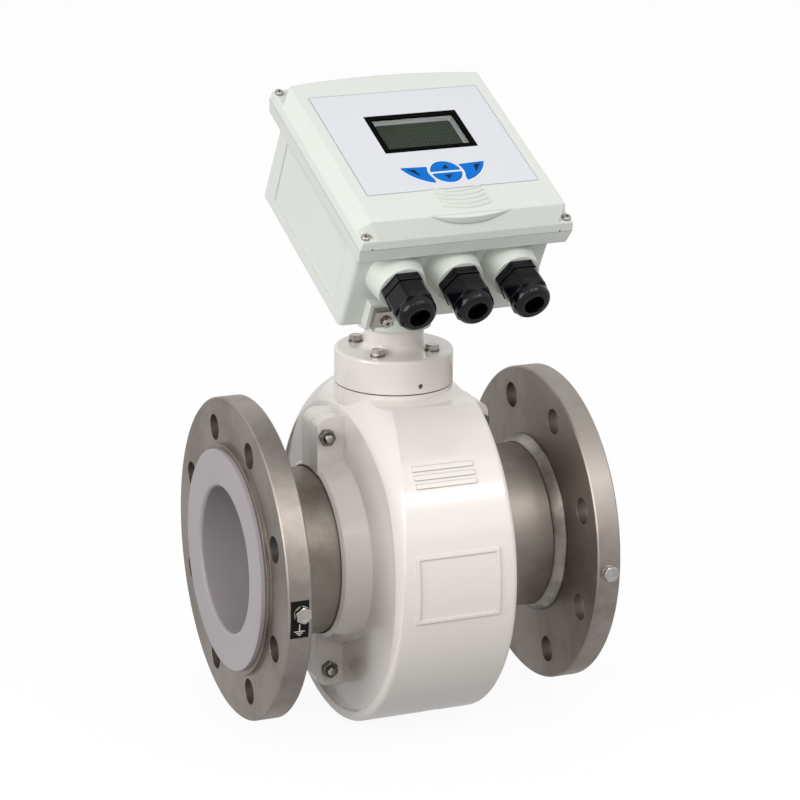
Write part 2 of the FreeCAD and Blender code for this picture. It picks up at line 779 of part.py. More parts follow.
def lug(side, up):
    """A clamping lug through both halves; side is along the pipe, up is 1 above and -1 below."""
    reach = side * size("lug_reach")
    arch = size("lug_arch_radius")
    arch_x = reach - side * arch
    arch_z = size("lug_arch_z")
    wall = floor_x(side) - side * size("end_wall") / 2
    front, rear = -size("lug_front_depth"), size("lug_rear_depth")
    base = hub_bore() + size("hub_tip_wall") - size("lug_arch_radius") / 2
    lower = block(min(reach, wall), max(reach, wall), front, rear, base, arch_z)
    upper = block(min(arch_x, wall), max(arch_x, wall), front, rear, base, arch_z + arch)
    crown = rod(arch, Vector(arch_x, front, arch_z), Vector(arch_x, rear, arch_z))
    shape = join([lower, upper, crown])
    return shape if up > 0 else shape.mirror(Vector(), Vector(0, 0, 1))


def clamp_points():
    reach = {1: size("lug_bolt_x_upper"), -1: size("lug_bolt_x_lower")}
    return [(side, side * reach[up], up * size("lug_bolt_z")) for side in (-1, 1) for up in (-1, 1)]


def raised_marks():
    """The raised bars and the raised frame on the front of the drum."""
    inner = size("drum_radius") - size("mark_height")
    outer = size("drum_radius") + size("mark_height")
    left, right = size("drum_start"), size("drum_start") + size("drum_width")
    start, end = Vector(left, 0, 0), Vector(right, 0, 0)
    skin = rod(outer, start, end).cut(rod(inner, start, end))
    edge = size("plate_frame_bar")
    x_low, z_low = size("plate_frame_left"), size("plate_frame_low")
    x_high, z_high = x_low + size("plate_frame_width"), z_low + size("plate_frame_height")
    rim = block(x_low, x_high, -outer, 0, z_low, z_high)
    rim = rim.cut(block(x_low + edge, x_high - edge, -outer, 0, z_low + edge, z_high - edge))
    marks = [skin.common(rim)]
    for index in range(int(size("bar_count"))):
        low = size("bar_low") + index * size("bar_pitch")
        bar = block(size("bar_left"), size("bar_left") + size("bar_length"), -outer, 0,
                    low, low + size("bar_height"))
        marks.append(skin.common(bar))
    return marks


def foot_scoop():
    """The shallow draft under the drum that ends in a step."""
    low = -size("drum_radius")
    start, end = size("drum_foot_scoop_start"), size("drum_foot_scoop_end")
    step = size("drum_foot_scoop")
    outline = [Vector(start, -size("drum_radius"), low), Vector(end, -size("drum_radius"), low + step),
               Vector(end, -size("drum_radius"), low - step), Vector(start, -size("drum_radius"), low - step)]
    scoop = prism_between(outline, Vector(0, 2 * size("drum_radius"), 0))
    scoop.rotate(Vector(), Vector(1, 0, 0), size("drum_foot_turn"))
    return scoop


def housing():
    whole = join([drum_shell().cut(end_recess(-1)).cut(end_recess(1)), hub(-1), hub(1)]
                 + [lug(side, up) for side in (-1, 1) for up in (-1, 1)])
    reach = Vector(size("hub_reach") + 1, 0, 0)
    neck = rod(size("neck_bore_radius"), Vector(size("turret_x"), 0, hub_bore()),
               Vector(size("turret_x"), 0, size("stub_top") + 1))
    tools = [drum_cavity(), rod(hub_bore(), -reach, reach), neck, foot_scoop()]
    hole = size("clamp_thread_radius") + size("fit_gap")
    for side, x, z in clamp_points():
        tools.append(rod(hole, Vector(x, -size("lug_front_depth"), z), Vector(x, size("lug_rear_depth"), z)))
    thread = size("cap_bolt_thread_radius") + size("fit_gap")
    bottom = size("stub_top") + size("gasket_thickness") + size("cap_height") - size("cap_bolt_length")
    for x, y in polar(int(size("cap_bolt_count")), size("cap_bolt_circle_radius"), size("cap_bolt_angle"),
                      (size("turret_x"), 0.0)):
        tools.append(rod(thread, Vector(x, y, bottom), Vector(x, y, size("stub_top") + 1)))
    for tool in tools:
        whole = whole.cut(tool)
    reach = size("drum_radius") * 2
    gap = size("fit_gap")
    front = whole.common(block(-reach, reach, -reach, -gap, -reach, reach))
    rear = whole.common(block(-reach, reach, gap, reach, -reach, reach))
    front = join([front] + raised_marks())
    node(feature("housing_front", front), "housing_front")
    node(feature("housing_rear", rear), "housing_rear")


def hub_seals():
    rings = []
    for number, side in enumerate((-1, 1)):
        place = f"{side} * (Dim.hub_reach - Dim.seal_inset - Dim.seal_width / 2) - Dim.seal_width / 2"
        ring = cylinder(f"hub_seal_blank_{number}", "Dim.tube_radius + Dim.hub_clearance - Dim.fit_gap",
                        "Dim.seal_width", ALONG_X,
                        (place, "0", "0"))
        hole = cylinder(f"hub_seal_hole_{number}", "Dim.tube_radius + Dim.fit_gap", "Dim.seal_width", ALONG_X,
                        (place, "0", "0"))
        rings.append(cut(f"hub_seal_{number}", ring, [hole]))
    return node(compound("hub_seals", rings), "hub_seals")


def clamp_fasteners():
    screws = []
    nuts = []
    for number, (side, x, z) in enumerate(clamp_points()):
        place = Vector(x, size("lug_rear_depth"), z)
        screws.append(hex_screw(f"clamp_screw_{number}", "Dim.clamp_hex", "Dim.clamp_head_height",
                                "Dim.clamp_thread_radius",
                                "Dim.lug_rear_depth + Dim.lug_front_depth + Dim.clamp_nut_height"
                                " + Dim.clamp_end_proud", ALONG_Y, place))
        blank = prism(f"clamp_nut_blank_{number}", "Dim.clamp_hex", "Dim.clamp_nut_height")
        hole = cylinder(f"clamp_nut_hole_{number}", "Dim.clamp_thread_radius + Dim.fit_gap / 2",
                        "Dim.clamp_nut_height")
        nut = cut(f"clamp_nut_{number}", blank, [hole])
        nut.Placement = Placement(Vector(x, -size("lug_front_depth"), z), AGAINST_Y)
        nuts.append(nut)
    node(compound("clamp_screws", screws), "clamp_screws")
    node(compound("clamp_nuts", nuts), "clamp_nuts")


# ---------------------------------------------------------------- turret on the drum
def turret():
    base = "(Dim.stub_top + Dim.gasket_thickness)"
    top = f"({base} + Dim.cap_height)"
    place = Vector(size("turret_x"), 0, 0)

    ring = cylinder("gasket_blank", "Dim.stub_radius - Dim.gasket_inset", "Dim.gasket_thickness", UP,
                    ("Dim.turret_x", "0", "Dim.stub_top"))
    openings = [cylinder("gasket_bore", "Dim.neck_bore_radius", "Dim.gasket_thickness", UP,
                         ("Dim.turret_x", "0", "Dim.stub_top"))]
    openings += cap_bolt_holes("gasket_hole")
    node(cut("turret_gasket", ring, openings), "turret_gasket")

    ledge = "(Dim.socket_top_z + 3 * Dim.fit_gap)"
    body = turned_body("cap_blank", [
        ("Dim.neck_bore_radius", base), ("Dim.stub_radius", base), ("Dim.stub_radius", top),
        ("Dim.neck_radius", top), ("Dim.neck_radius", ledge), ("Dim.neck_spigot_radius", ledge),
        ("Dim.neck_spigot_radius", f"{ledge} + Dim.ring_height + 1"),
        ("Dim.neck_bore_radius", f"{ledge} + Dim.ring_height + 1"),
    ], "V_Axis", "XZ_Plane")
    level = size("stub_top") + size("gasket_thickness") + size("cap_height")
    stub, neck = size("stub_radius"), size("neck_radius")
    dress_circles(body, "Fillet", "Dim.cap_round",
                  lambda radius, centre: near(radius, stub) and near(centre.z, level))
    dress_circles(body, "Fillet", "Dim.neck_foot_round",
                  lambda radius, centre: near(radius, neck) and near(centre.z, level))
    body.Placement = Placement(place, UP)
    angle = math.radians(size("set_screw_angle"))
    outward = Vector(math.cos(angle), math.sin(angle), 0)
    height = size("stub_top") + size("gasket_thickness") + size("set_screw_rise")
    seat = cylinder("set_screw_hole", "Dim.set_screw_radius + Dim.fit_gap", "Dim.set_screw_length + 1")
    seat.Placement = Placement(place + outward * (stub - size("set_screw_length")) + Vector(0, 0, height),
                               Rotation(Vector(0, 0, 1), outward))
    faces = []
    for number, (x, y) in enumerate(cap_bolt_places()):
        face = cylinder(f"spot_face_{number}", "Dim.cap_washer_radius + 2 * Dim.fit_gap",
                        "Dim.neck_foot_round + 1")
        face.Placement = Placement(Vector(x, y, level - size("fit_gap") / 2), UP)
        faces.append(face)
    node(cut("turret_cap", body, cap_bolt_holes("cap_hole") + faces + [seat]), "turret_cap")
    blank = cylinder("set_screw_blank", "Dim.set_screw_radius", "Dim.set_screw_length - Dim.set_screw_inset")
    socket = prism("set_screw_socket", "Dim.set_screw_radius", "Dim.set_screw_socket_depth + 1", UP,
                   ("0", "0", "Dim.set_screw_length - Dim.set_screw_inset - Dim.set_screw_socket_depth"))
    screw = cut("set_screw", blank, [socket])
    screw.Placement = Placement(place + outward * (stub - size("set_screw_length")) + Vector(0, 0, height),
                                Rotation(Vector(0, 0, 1), outward))
    node(screw, "turret_set_screw")

    screws = []
    washers = []
    seat_level = level + size("cap_washer_thickness")
    for number, (x, y) in enumerate(cap_bolt_places()):
        screws.append(hex_screw(f"cap_bolt_{number}", "Dim.cap_bolt_hex", "Dim.cap_bolt_head_height",
                                "Dim.cap_bolt_thread_radius", "Dim.cap_bolt_length", UP,
                                Vector(x, y, seat_level)))
        ring = cylinder(f"cap_washer_blank_{number}", "Dim.cap_washer_radius", "Dim.cap_washer_thickness")
        hole = cylinder(f"cap_washer_hole_{number}", "Dim.cap_bolt_thread_radius + Dim.fit_gap",
                        "Dim.cap_washer_thickness")
        washer = cut(f"cap_washer_{number}", ring, [hole])
        washer.Placement = Placement(Vector(x, y, level), UP)
        washers.append(washer)
    node(compound("turret_bolts", screws), "turret_bolts")
    node(compound("turret_washers", washers), "turret_washers")

    ring = cylinder("lock_ring_blank", "Dim.ring_radius", "Dim.ring_height", UP, ("Dim.turret_x", "0", ledge))
    hole = cylinder("lock_ring_hole", "Dim.neck_spigot_radius + Dim.fit_gap", "Dim.ring_height", UP,
                    ("Dim.turret_x", "0", ledge))
    node(cut("neck_lock_ring", ring, [hole]), "neck_lock_ring")


def cap_bolt_places():
    return polar(int(size("cap_bolt_count")), size("cap_bolt_circle_radius"), size("cap_bolt_angle"),
                 (size("turret_x"), 0.0))


def cap_bolt_holes(name):
    """Clearance holes for the turret bolts, through the gasket and the cap."""
    holes = []
    for number in range(int(size("cap_bolt_count"))):
        turn = f"(Dim.cap_bolt_angle + {number} * 360 / Dim.cap_bolt_count)"
        holes.append(cylinder(f"{name}_{number}", "Dim.cap_bolt_thread_radius + Dim.fit_gap",
                              "Dim.cap_height + Dim.gasket_thickness + 2", UP,
                              (f"Dim.turret_x + Dim.cap_bolt_circle_radius * cos({turn})",
                               f"Dim.cap_bolt_circle_radius * sin({turn})", "Dim.stub_top - 1")))
    return holes


# ---------------------------------------------------------------- transmitter: base and cover
def level(depth_name):
    """A height along the tilted normal, counted down from the face."""
    return size("face_level") - size(depth_name)


def rectangle(half_width, low, high, height, bulge=0.0):
    """A closed outline; the far edge may bow outwards."""
    corners = [Vector(-half_width, high, height), Vector(-half_width, low, height),
               Vector(half_width, low, height), Vector(half_width, high, height)]
    if not bulge:
        return Part.makePolygon(corners + corners[:1])
    sides = [Part.makeLine(start, end) for start, end in zip(corners, corners[1:])]
    bow = Part.Arc(corners[3], Vector(0, high + bulge, height), corners[0]).toShape()
    return Part.Wire(sides + [bow])


def stacked(sections):
    """A solid with flat sides through rectangles given as (half width, low, high, height)."""
    layers = []
    for lower, upper in zip(sections, sections[1:]):
        layers.append(Part.makeLoft([rectangle(*lower), rectangle(*upper)], True, True))
    return layers[0] if len(layers) == 1 else join(layers)


def shell_sections():
    """Outline of the cover and of the base's rim, from the face down."""
    face = size("face_level")
    return {
        "face": (size("face_half_width"), size("face_low"), size("face_low") + size("face_length"), face),
        "edge": (size("edge_half_width"), size("edge_low"), size("edge_low") + size("edge_length"),
                 level("edge_depth")),
        "parting": (size("parting_half_width"), size("parting_low"),
                    size("parting_low") + size("parting_length"), level("parting_depth")),
        "rim": (size("rim_half_width"), size("rim_low"), size("rim_low") + size("rim_length"),
                level("rim_depth")),
    }


def shell_stack(upper, lower, top_shift=0.0):
    """The solid between two named levels of the shell outline."""
    order = ["rim", "parting", "edge", "face"]
    table = shell_sections()
    names = order[order.index(lower):order.index(upper) + 1]
    sections = [table[name] + (size("back_bulge"),) for name in names]
    if top_shift:
        half, low, high, height, bulge = sections[-1]
        sections[-1] = (half, low, high, height - top_shift, bulge)
    return stacked(sections)


def lid_screw_places():
    low = size("lid_screw_low")
    return [(side * size("lid_screw_x"), low + far * size("lid_screw_span")) for far in (0, 1) for side in (-1, 1)]


def corner_pads(height):
    """The cut-aways over the four cover screws, each with a slanting wall through a corner of the face."""
    cuts = []
    out, along = size("lid_pad_reach"), size("lid_pad_reach") * size("lid_pad_slope")
    x, low = size("face_half_width"), size("face_low")
    for side in (-1, 1):
        for far, s in ((-1, low), (1, low + size("face_length"))):
            points = [Vector(side * (x + out), s - far * along, height),
                      Vector(side * (x - out), s + far * along, height),
                      Vector(side * (x + out), s + far * along, height)]
            cuts.append(prism_between(points, Vector(0, 0, size("parting_depth"))))
    return cuts


def key_outline(name):
    """The flat outline of one key, as a face at height zero."""
    x, s, radius = size("key_x"), size("key_s"), size("key_disc_radius")
    split = size("key_split") / 2
    if name in ("up", "down"):
        disc_face = Part.Face(Part.Wire(Part.makeCircle(radius, Vector(x, s, 0))))
        half = block(x - radius, x + radius, s + split, s + radius + 1, -1, 1) if name == "up" else \
            block(x - radius, x + radius, s - radius - 1, s - split, -1, 1)
        return disc_face.common(half).Faces[0]
    side = -1 if name == "left" else 1
    ring = radius + size("key_side_gap")
    top, bottom = size("key_side_top"), -size("key_side_bottom")
    tip = Vector(x + side * size("key_side_reach"), s + top, 0)
    waist = size("key_waist")
    foot = Vector(x + side * math.sqrt(ring ** 2 - waist ** 2), s - waist, 0)
    inner_top = Vector(x + side * math.sqrt(ring ** 2 - (top - 1) ** 2), s + top - 1, 0)
    inner_bottom = Vector(foot.x, s + bottom, 0)
    middle = Vector(x + side * ring, s, 0)
    belly = Vector(x + side * size("key_side_reach") * 0.80, s + bottom * 0.22, 0)
    edges = [
        Part.makeLine(tip, inner_top),
        Part.Arc(inner_top, middle, foot).toShape(), Part.makeLine(foot, inner_bottom),
        Part.Arc(inner_bottom, belly, tip).toShape(),
    ]
    return Part.Face(Part.Wire(edges))


KEY_NAMES = ("left", "right", "up", "down")


def key_stem_place(name):
    """Where the key's stem goes down to the display board."""
    x, s, radius = size("key_x"), size("key_s"), size("key_disc_radius")
    offsets = {"up": (0, radius / 2), "down": (0, -radius / 2), "left": (-radius * 3 / 2, 1),
               "right": (radius * 3 / 2, 1)}
    return x + offsets[name][0], s + offsets[name][1]


def lifted(face, start, depth):
    """A plate on a flat outline, from the given height upwards."""
    plate = face.extrude(Vector(0, 0, depth))
    plate.translate(Vector(0, 0, start))
    return plate


def keys():
    top = size("face_level") + size("film_thickness") - size("film_inset") + size("key_proud")
    for name in KEY_NAMES:
        cap = lifted(key_outline(name), top - size("key_thickness"), size("key_thickness"))
        upright = [edge for edge in cap.Edges if near(edge.BoundBox.ZLength, size("key_thickness"))]
        cap = cap.makeFillet(size("key_side_round"), upright)
        x, s = key_stem_place(name)
        stem = rod(size("key_stem_radius"), Vector(x, s, top - size("key_thickness") - size("key_stem_length")),
                   Vector(x, s, top - size("key_thickness") / 2))
        node(feature(f"key_{name}", join([cap, stem]), head_place()), f"key_{name}")


def key_wells(height_low, height_high):
    """Openings in which the keys slide."""
    wells = []
    for name in KEY_NAMES:
        outline = key_outline(name).makeOffset2D(size("key_gap"))
        wells.append(lifted(outline, height_low, height_high - height_low))
    return wells


def display_limits(border=0.0):
    half = size("display_width") / 2
    return (size("display_x") - half + border, size("display_x") + half - border,
            size("display_low") + border, size("display_low") + size("display_height") - border)


def lid():
    face = size("face_level")
    shell = shell_stack("face", "parting")
    tongue = rod(size("tongue_radius"), Vector(size("tongue_x"), size("tongue_low") + size("tongue_radius"),
                                               face - size("tongue_thickness")),
                 Vector(size("tongue_x"), size("tongue_low") + size("tongue_radius"), face))
    shell = join([shell, tongue])
    for pad in corner_pads(face - size("lid_pad_depth")):
        shell = shell.cut(pad)
    half, low = size("lid_cavity_half_width"), size("lid_cavity_low")
    tools = [block(-half, half, low, low + size("lid_cavity_length"), level("parting_depth"),
                   face - size("lid_plate"))]
    film_half = size("film_half_width") + size("fit_gap")
    tools.append(block(-film_half, film_half, size("film_low") - size("fit_gap"),
                       size("film_low") + size("film_length") + size("fit_gap"), face - size("film_inset"), face + 1))
    gap = size("fit_gap")
    rebate = size("bezel_thickness") + size("window_thickness") + size("film_inset")
    tools.append(block(*display_limits(-gap), face - rebate, face + 1))
    tools.append(block(*display_limits(size("display_border")), face - size("lid_plate") - 1, face + 1))
    key_floor = face + size("film_thickness") - size("film_inset") + size("key_proud") - size("key_thickness") \
        - size("key_travel_room")
    tools += key_wells(key_floor, face + 1)
    for name in KEY_NAMES:
        x, s = key_stem_place(name)
        tools.append(rod(size("key_stem_radius") + gap, Vector(x, s, face - size("lid_plate") - 1),
                         Vector(x, s, face)))
    for x, s in lid_screw_places():
        tools.append(rod(size("lid_screw_thread_radius") + gap, Vector(x, s, level("parting_depth") - 1),
                         Vector(x, s, face)))
    for tool in tools:
        shell = shell.cut(tool)
    shell = join([shell] + grip_ridges() + board_posts())
    return node(feature("lid", shell, head_place()), "lid")


def grip_ridges():
    """The raised finger ridges under the keys, concentric arcs."""
    ridges = []
    face = size("face_level")
    x = size("tongue_x")
    for index in range(int(size("ridge_count"))):
        low = size("ridge_first") + index * size("ridge_pitch") - size("ridge_pitch")
        centre = Vector(x, low + size("ridge_radius"), face - size("ridge_height"))
        ring = rod(size("ridge_radius"), centre, centre + Vector(0, 0, 2 * size("ridge_height")))
        ring = ring.cut(rod(size("ridge_radius") - size("ridge_width"), centre,
                            centre + Vector(0, 0, 2 * size("ridge_height"))))
        half = size("ridge_half_length")
        ridges.append(ring.common(block(x - half, x + half, low - 1, low + size("ridge_radius") / 2,
                                        face - size("ridge_height"), face + size("ridge_height"))))
    return ridges


def board_posts():
    """Four posts under the cover plate that carry the display board."""
    left, right, low, high = display_limits(-size("board_margin") + size("post_radius") + 1)
    low = size("key_s") - size("key_disc_radius") - size("post_radius")
    top = size("face_level") - size("lid_plate")
    return [rod(size("post_radius"), Vector(x, s, top - size("board_drop")), Vector(x, s, top + 1))
            for x in (left, right) for s in (low, high)]


def film_and_display():
    face = size("face_level")
    gap = size("fit_gap")
    film = block(-size("film_half_width"), size("film_half_width"), size("film_low"),
                 size("film_low") + size("film_length"), face - size("film_inset") + gap / 2,
                 face - size("film_inset") + size("film_thickness"))
    film = film.cut(block(*display_limits(-gap), face - 2, face + 2))
    for well in key_wells(face - 2, face + 2):
        film = film.cut(well)
    node(feature("film_overlay", film, head_place()), "film_overlay")

    border = size("display_border")
    top = face - size("film_inset") + size("film_thickness")
    floor = face - size("film_inset") - size("window_thickness") - size("bezel_thickness")
    pane = block(*display_limits(0), floor, floor + size("window_thickness"))
    node(feature("display_window", pane, head_place()), "display_window")
    bezel = block(*display_limits(0), floor + size("window_thickness"), top)
    bezel = bezel.cut(block(*display_limits(border), face - 3, face + 3))
    node(feature("display_bezel", bezel, head_place()), "display_bezel")

    plate = face - size("lid_plate")
    lcd = block(*display_limits(border - size("lcd_margin")), plate - gap - size("lcd_thickness"), plate - gap)
    node(feature("lcd_module", lcd, head_place()), "lcd_module")
    left, right, low, high = display_limits(-size("board_margin"))
    low = size("key_s") - size("key_disc_radius") - 2 * size("post_radius")
    top = plate - size("board_drop")
    board = block(left, right, low, high, top - size("board_thickness"), top)
    node(feature("display_board", board, head_place()), "display_board")


def lid_screws():
    screws = []
    for number, (x, s) in enumerate(lid_screw_places()):
        head = cylinder(f"lid_screw_head_{number}", "Dim.lid_screw_radius", "Dim.lid_screw_head_height")
        thread = cylinder(f"lid_screw_thread_{number}", "Dim.lid_screw_thread_radius", "Dim.lid_screw_length + 1",
                          UP, ("0", "0", "-Dim.lid_screw_length"))
        screw = fuse(f"lid_screw_{number}", [head, thread])
        screw.Placement = head_place(Placement(Vector(x, s, level("lid_pad_depth")), UP))
        screws.append(screw)
    node(compound("lid_screws", screws), "lid_screws")


def base():
    """The lower case with its rim, gland bosses, terminal pad and the vertical socket for the neck."""
    gap = size("parting_gap")
    rim = shell_stack("parting", "rim", gap)
    half = size("base_half_width")
    top, bottom = level("parting_depth") - gap, level("base_depth")
    outline = [Vector(-half, size("base_low"), top), Vector(-half, size("base_low") + size("base_length"), top),
               Vector(-half, size("base_foot_low") + size("base_foot_length"), bottom),
               Vector(-half, size("base_foot_low"), bottom)]
    tub = prism_between(outline, Vector(2 * half, 0, 0))
    corners = [edge for edge in tub.Edges if edge.BoundBox.ZLength > size("base_wall")]
    tub = tub.makeFillet(size("base_corner_round"), corners)
    for side in (-1, 1):
        panel = block(min(side * half, side * (half - size("panel_recess"))),
                      max(side * half, side * (half - size("panel_recess"))), size("panel_low"),
                      size("panel_low") + size("panel_length"), level("panel_top_depth") - size("panel_height"),
                      level("panel_top_depth"))
        tub = tub.cut(panel)
    solids = [rim, tub] + gland_bosses() + [terminal_pad(), neck_socket()]
    case = join(solids)
    wall = size("base_wall")
    inner_half = half - wall
    low, high = size("base_foot_low") + wall, size("base_low") + size("base_length") - wall
    hollow = block(-inner_half, inner_half, low, high, bottom + wall, top + 1)
    hollow = hollow.cut(neck_socket())
    tools = [hollow, neck_bore()] + [gland_hole(x) for x in gland_places()]
    seal = size("cover_seal_width")
    groove = block(-inner_half - seal, inner_half + seal, low - seal, high + seal,
                   top - size("cover_seal_height") + gap, top + 1)
    tools.append(groove)
    for x, s in lid_screw_places():
        tools.append(rod(size("lid_screw_thread_radius") + size("fit_gap"),
                         Vector(x, s, level("lid_pad_depth") - size("lid_screw_length") - 1), Vector(x, s, top + 1)))
    thread = size("terminal_screw_radius") + size("fit_gap")
    place = terminal_screw_place()
    tools.append(rod(thread, place + Vector(0, -1, 0), place + Vector(0, size("terminal_screw_length"), 0)))
    for tool in tools:
        case = case.cut(tool)
    posts = [rod(size("post_radius"), Vector(x, s, bottom + wall / 2), Vector(x, s, inner_board_floor()))
             for x, s in inner_board_corners()]
    return node(feature("box_base", join([case] + posts), head_place()), "box_base")


def tilted_rod(radius, low_z, high_z):
    """A rod upright along the neck's axis, told in the tilted frame."""
    tilt = math.radians(size("head_tilt"))
    upright = Vector(0, math.sin(tilt), math.cos(tilt))
    return rod(radius, upright * low_z, upright * high_z)


def neck_socket():
    return tilted_rod(size("socket_radius"), size("socket_low_z"), size("socket_top_z"))


def neck_bore():
    return tilted_rod(size("neck_radius") + size("swivel_gap"), size("socket_low_z") - 1, size("socket_top_z") + 1)


def gland_places():
    middle = (int(size("gland_count")) - 1) / 2
    return [(index - middle) * size("gland_pitch") for index in range(int(size("gland_count")))]


def gland_bosses():
    length = size("base_foot_low") + size("base_wall") / 2 - size("boss_face")
    return [Part.makeCone(size("boss_tip_radius"), size("boss_root_radius"), length,
                          Vector(x, size("boss_face"), level("gland_depth")), Vector(0, 1, 0))
            for x in gland_places()]


def gland_hole(x):
    start = Vector(x, size("boss_face") - 1, level("gland_depth"))
    return rod(size("gland_thread_radius") + size("fit_gap"), start,
               start + Vector(0, size("base_foot_low") + size("base_wall") + 2, 0))


def terminal_centre():
    """The middle of the terminal pad's front face."""
    front = size("base_foot_low") - size("terminal_pad_height")
    return Vector(size("terminal_x"), front, level("terminal_depth"))


def terminal_screw_place():
    return terminal_centre() + Vector(size("terminal_screw_shift"), 0, -size("terminal_screw_drop"))


def terminal_pad():
    centre = terminal_centre()
    half = size("terminal_pad") / 2
    return block(centre.x - half, centre.x + half, centre.y, size("base_foot_low") + size("base_wall") / 2,
                 centre.z - half, centre.z + half)


def earth_terminal():
    centre = terminal_centre()
    half = size("terminal_plate") / 2
    thick = size("terminal_plate_thickness")
    plate = block(centre.x - half, centre.x + half, centre.y - thick, centre.y, centre.z - half, centre.z + half)
    lip = block(centre.x - half, centre.x - half + thick, centre.y - thick - size("terminal_lip"), centre.y,
                centre.z - half, centre.z + half)
    ledge = block(centre.x - half, centre.x + half, centre.y - thick - size("terminal_lip"), centre.y,
                  centre.z + half - thick, centre.z + half)
    place = terminal_screw_place()
    hole = rod(size("terminal_screw_radius") + size("fit_gap"), place + Vector(0, -half, 0),
               place + Vector(0, 1, 0))
    clamp = join([plate, lip, ledge]).cut(hole)
    node(feature("earth_clamp", clamp, head_place()), "earth_clamp")
    head = cylinder("terminal_head", "Dim.terminal_head_radius", "Dim.terminal_head_height")
    thread = cylinder("terminal_thread", "Dim.terminal_screw_radius", "Dim.terminal_screw_length + 1", UP,
                      ("0", "0", "-Dim.terminal_screw_length"))
    screw = fuse("terminal_screw", [head, thread])
    screw.Placement = head_place(Placement(place - Vector(0, thick, 0), AGAINST_Y))
    node(screw, "earth_clamp_screw")


def cover_seal():
    wall = size("base_wall")
    gap = size("fit_gap")
    half = size("base_half_width") - wall
    low, high = size("base_foot_low") + wall, size("base_low") + size("base_length") - wall
    width = size("cover_seal_width")
    top = level("parting_depth")
    ring = block(-half - width + gap, half + width - gap, low - width + gap, high + width - gap,
                 top - size("cover_seal_height"), top - gap)
    ring = ring.cut(block(-half, half, low, high, top - 2 * size("cover_seal_height"), top + 1))
    return node(feature("cover_seal", ring, head_place()), "cover_seal")


# ---------------------------------------------------------------- cable glands
def gland(number, x):
    """One cable gland: body, rubber seal, lock nut inside the box, and the dome nut that turns."""
    place = head_place(Placement(Vector(x, size("boss_face"), level("gland_depth")), AGAINST_Y))
    hexagon = prism(f"gland_hex_{number}", "Dim.gland_hex", "Dim.gland_hex_height")
    skirt = cylinder(f"gland_skirt_{number}", "Dim.gland_flange_radius", "Dim.gland_hex_height")
    collar = common(f"gland_collar_{number}", [hexagon, skirt])
    barrel = cylinder(f"gland_barrel_{number}", "Dim.gland_thread_radius",
                      "Dim.gland_thread_length + Dim.gland_hex_height + Dim.gland_neck_length", UP,
                      ("0", "0", "-Dim.gland_thread_length"))
    bore = cylinder(f"gland_bore_{number}", "Dim.gland_bore_radius",
                    "Dim.gland_thread_length + Dim.gland_hex_height + Dim.gland_neck_length", UP,
                    ("0", "0", "-Dim.gland_thread_length"))
    body = cut(f"gland_body_{number}", fuse(f"gland_blank_{number}", [collar, barrel]), [bore])
    body.Placement = place

    top = "(Dim.gland_hex_height + Dim.gland_neck_length + Dim.gland_seal_proud)"
    plug = cylinder(f"seal_blank_{number}", "Dim.gland_bore_radius - Dim.fit_gap", "Dim.gland_seal_length", UP,
                    ("0", "0", f"{top} - Dim.gland_seal_length"))
    hole = cylinder(f"seal_hole_{number}", "Dim.seal_hole_radius", "Dim.gland_seal_length", UP,
                    ("0", "0", f"{top} - Dim.gland_seal_length"))
    seal = cut(f"gland_seal_{number}", plug, [hole])
    seal.Placement = place

    inside = "(Dim.base_foot_low + Dim.base_wall - Dim.boss_face)"
    blank = prism(f"locknut_blank_{number}", "Dim.gland_hex", "Dim.gland_locknut_height", UP,
                  ("0", "0", f"-{inside} - Dim.gland_locknut_height"))
    hole = cylinder(f"locknut_hole_{number}", "Dim.gland_thread_radius + Dim.fit_gap",
                    "Dim.gland_locknut_height", UP, ("0", "0", f"-{inside} - Dim.gland_locknut_height"))
    locknut = cut(f"gland_locknut_{number}", blank, [hole])
    locknut.Placement = place

    start = "(Dim.gland_hex_height + Dim.nut_gap)"
    grip = prism(f"nut_hex_{number}", "Dim.nut_hex", "Dim.nut_hex_length", UP, ("0", "0", start))
    corners = cylinder(f"nut_corners_{number}", "Dim.nut_corner_radius", "Dim.nut_hex_length", UP,
                       ("0", "0", start))
    tip = cylinder(f"nut_tip_{number}", "Dim.nut_tip_radius", "Dim.nut_length - Dim.nut_hex_length + 1", UP,
                   ("0", "0", f"{start} + Dim.nut_hex_length - 1"))
    end_level = size("gland_hex_height") + size("nut_gap") + size("nut_length")
    dome = rounded(f"nut_dome_{number}", tip, size("nut_tip_round"),
                   lambda edge: near(edge.BoundBox.ZMin, end_level) and near(edge.BoundBox.ZMax, end_level))
    solid = fuse(f"nut_solid_{number}", [common(f"nut_grip_{number}", [grip, corners]), dome])
    hollow = cylinder(f"nut_hollow_{number}", "Dim.gland_thread_radius + Dim.fit_gap",
                      "Dim.gland_neck_length - Dim.nut_gap + 2 * Dim.nut_gap", UP,
                      ("0", "0", "Dim.gland_hex_height"))
    mouth = cylinder(f"nut_mouth_{number}", "Dim.nut_mouth_radius", "Dim.nut_length + 1", UP, ("0", "0", start))
    nut = cut(f"gland_nut_{number}", solid, [hollow, mouth])
    nut.Placement = place
    node(nut, f"gland_nut_{number}")
    return body, seal, locknut


def glands():
    parts = [gland(number, x) for number, x in enumerate(gland_places(), start=1)]
    for index, name in enumerate(("gland_bodies", "gland_seals", "gland_locknuts")):
        node(compound(name, [part[index] for part in parts]), name)


# ---------------------------------------------------------------- inside the transmitter
def inner_board_limits():
    """The main board's half width and its front and rear edges, inside the walls."""
    wall = size("base_wall")
    return (size("base_half_width") - wall - size("board_side_gap"),
            size("base_foot_low") + wall + size("board_front_gap"),
            size("base_low") + size("base_length") - wall - size("board_rear_gap"))


def inner_board_corners():
    inset = 2 * size("post_radius")
    half, low, high = inner_board_limits()
    return [(x, s) for x in (inset - half, half - inset) for s in (low + inset, high - inset)]


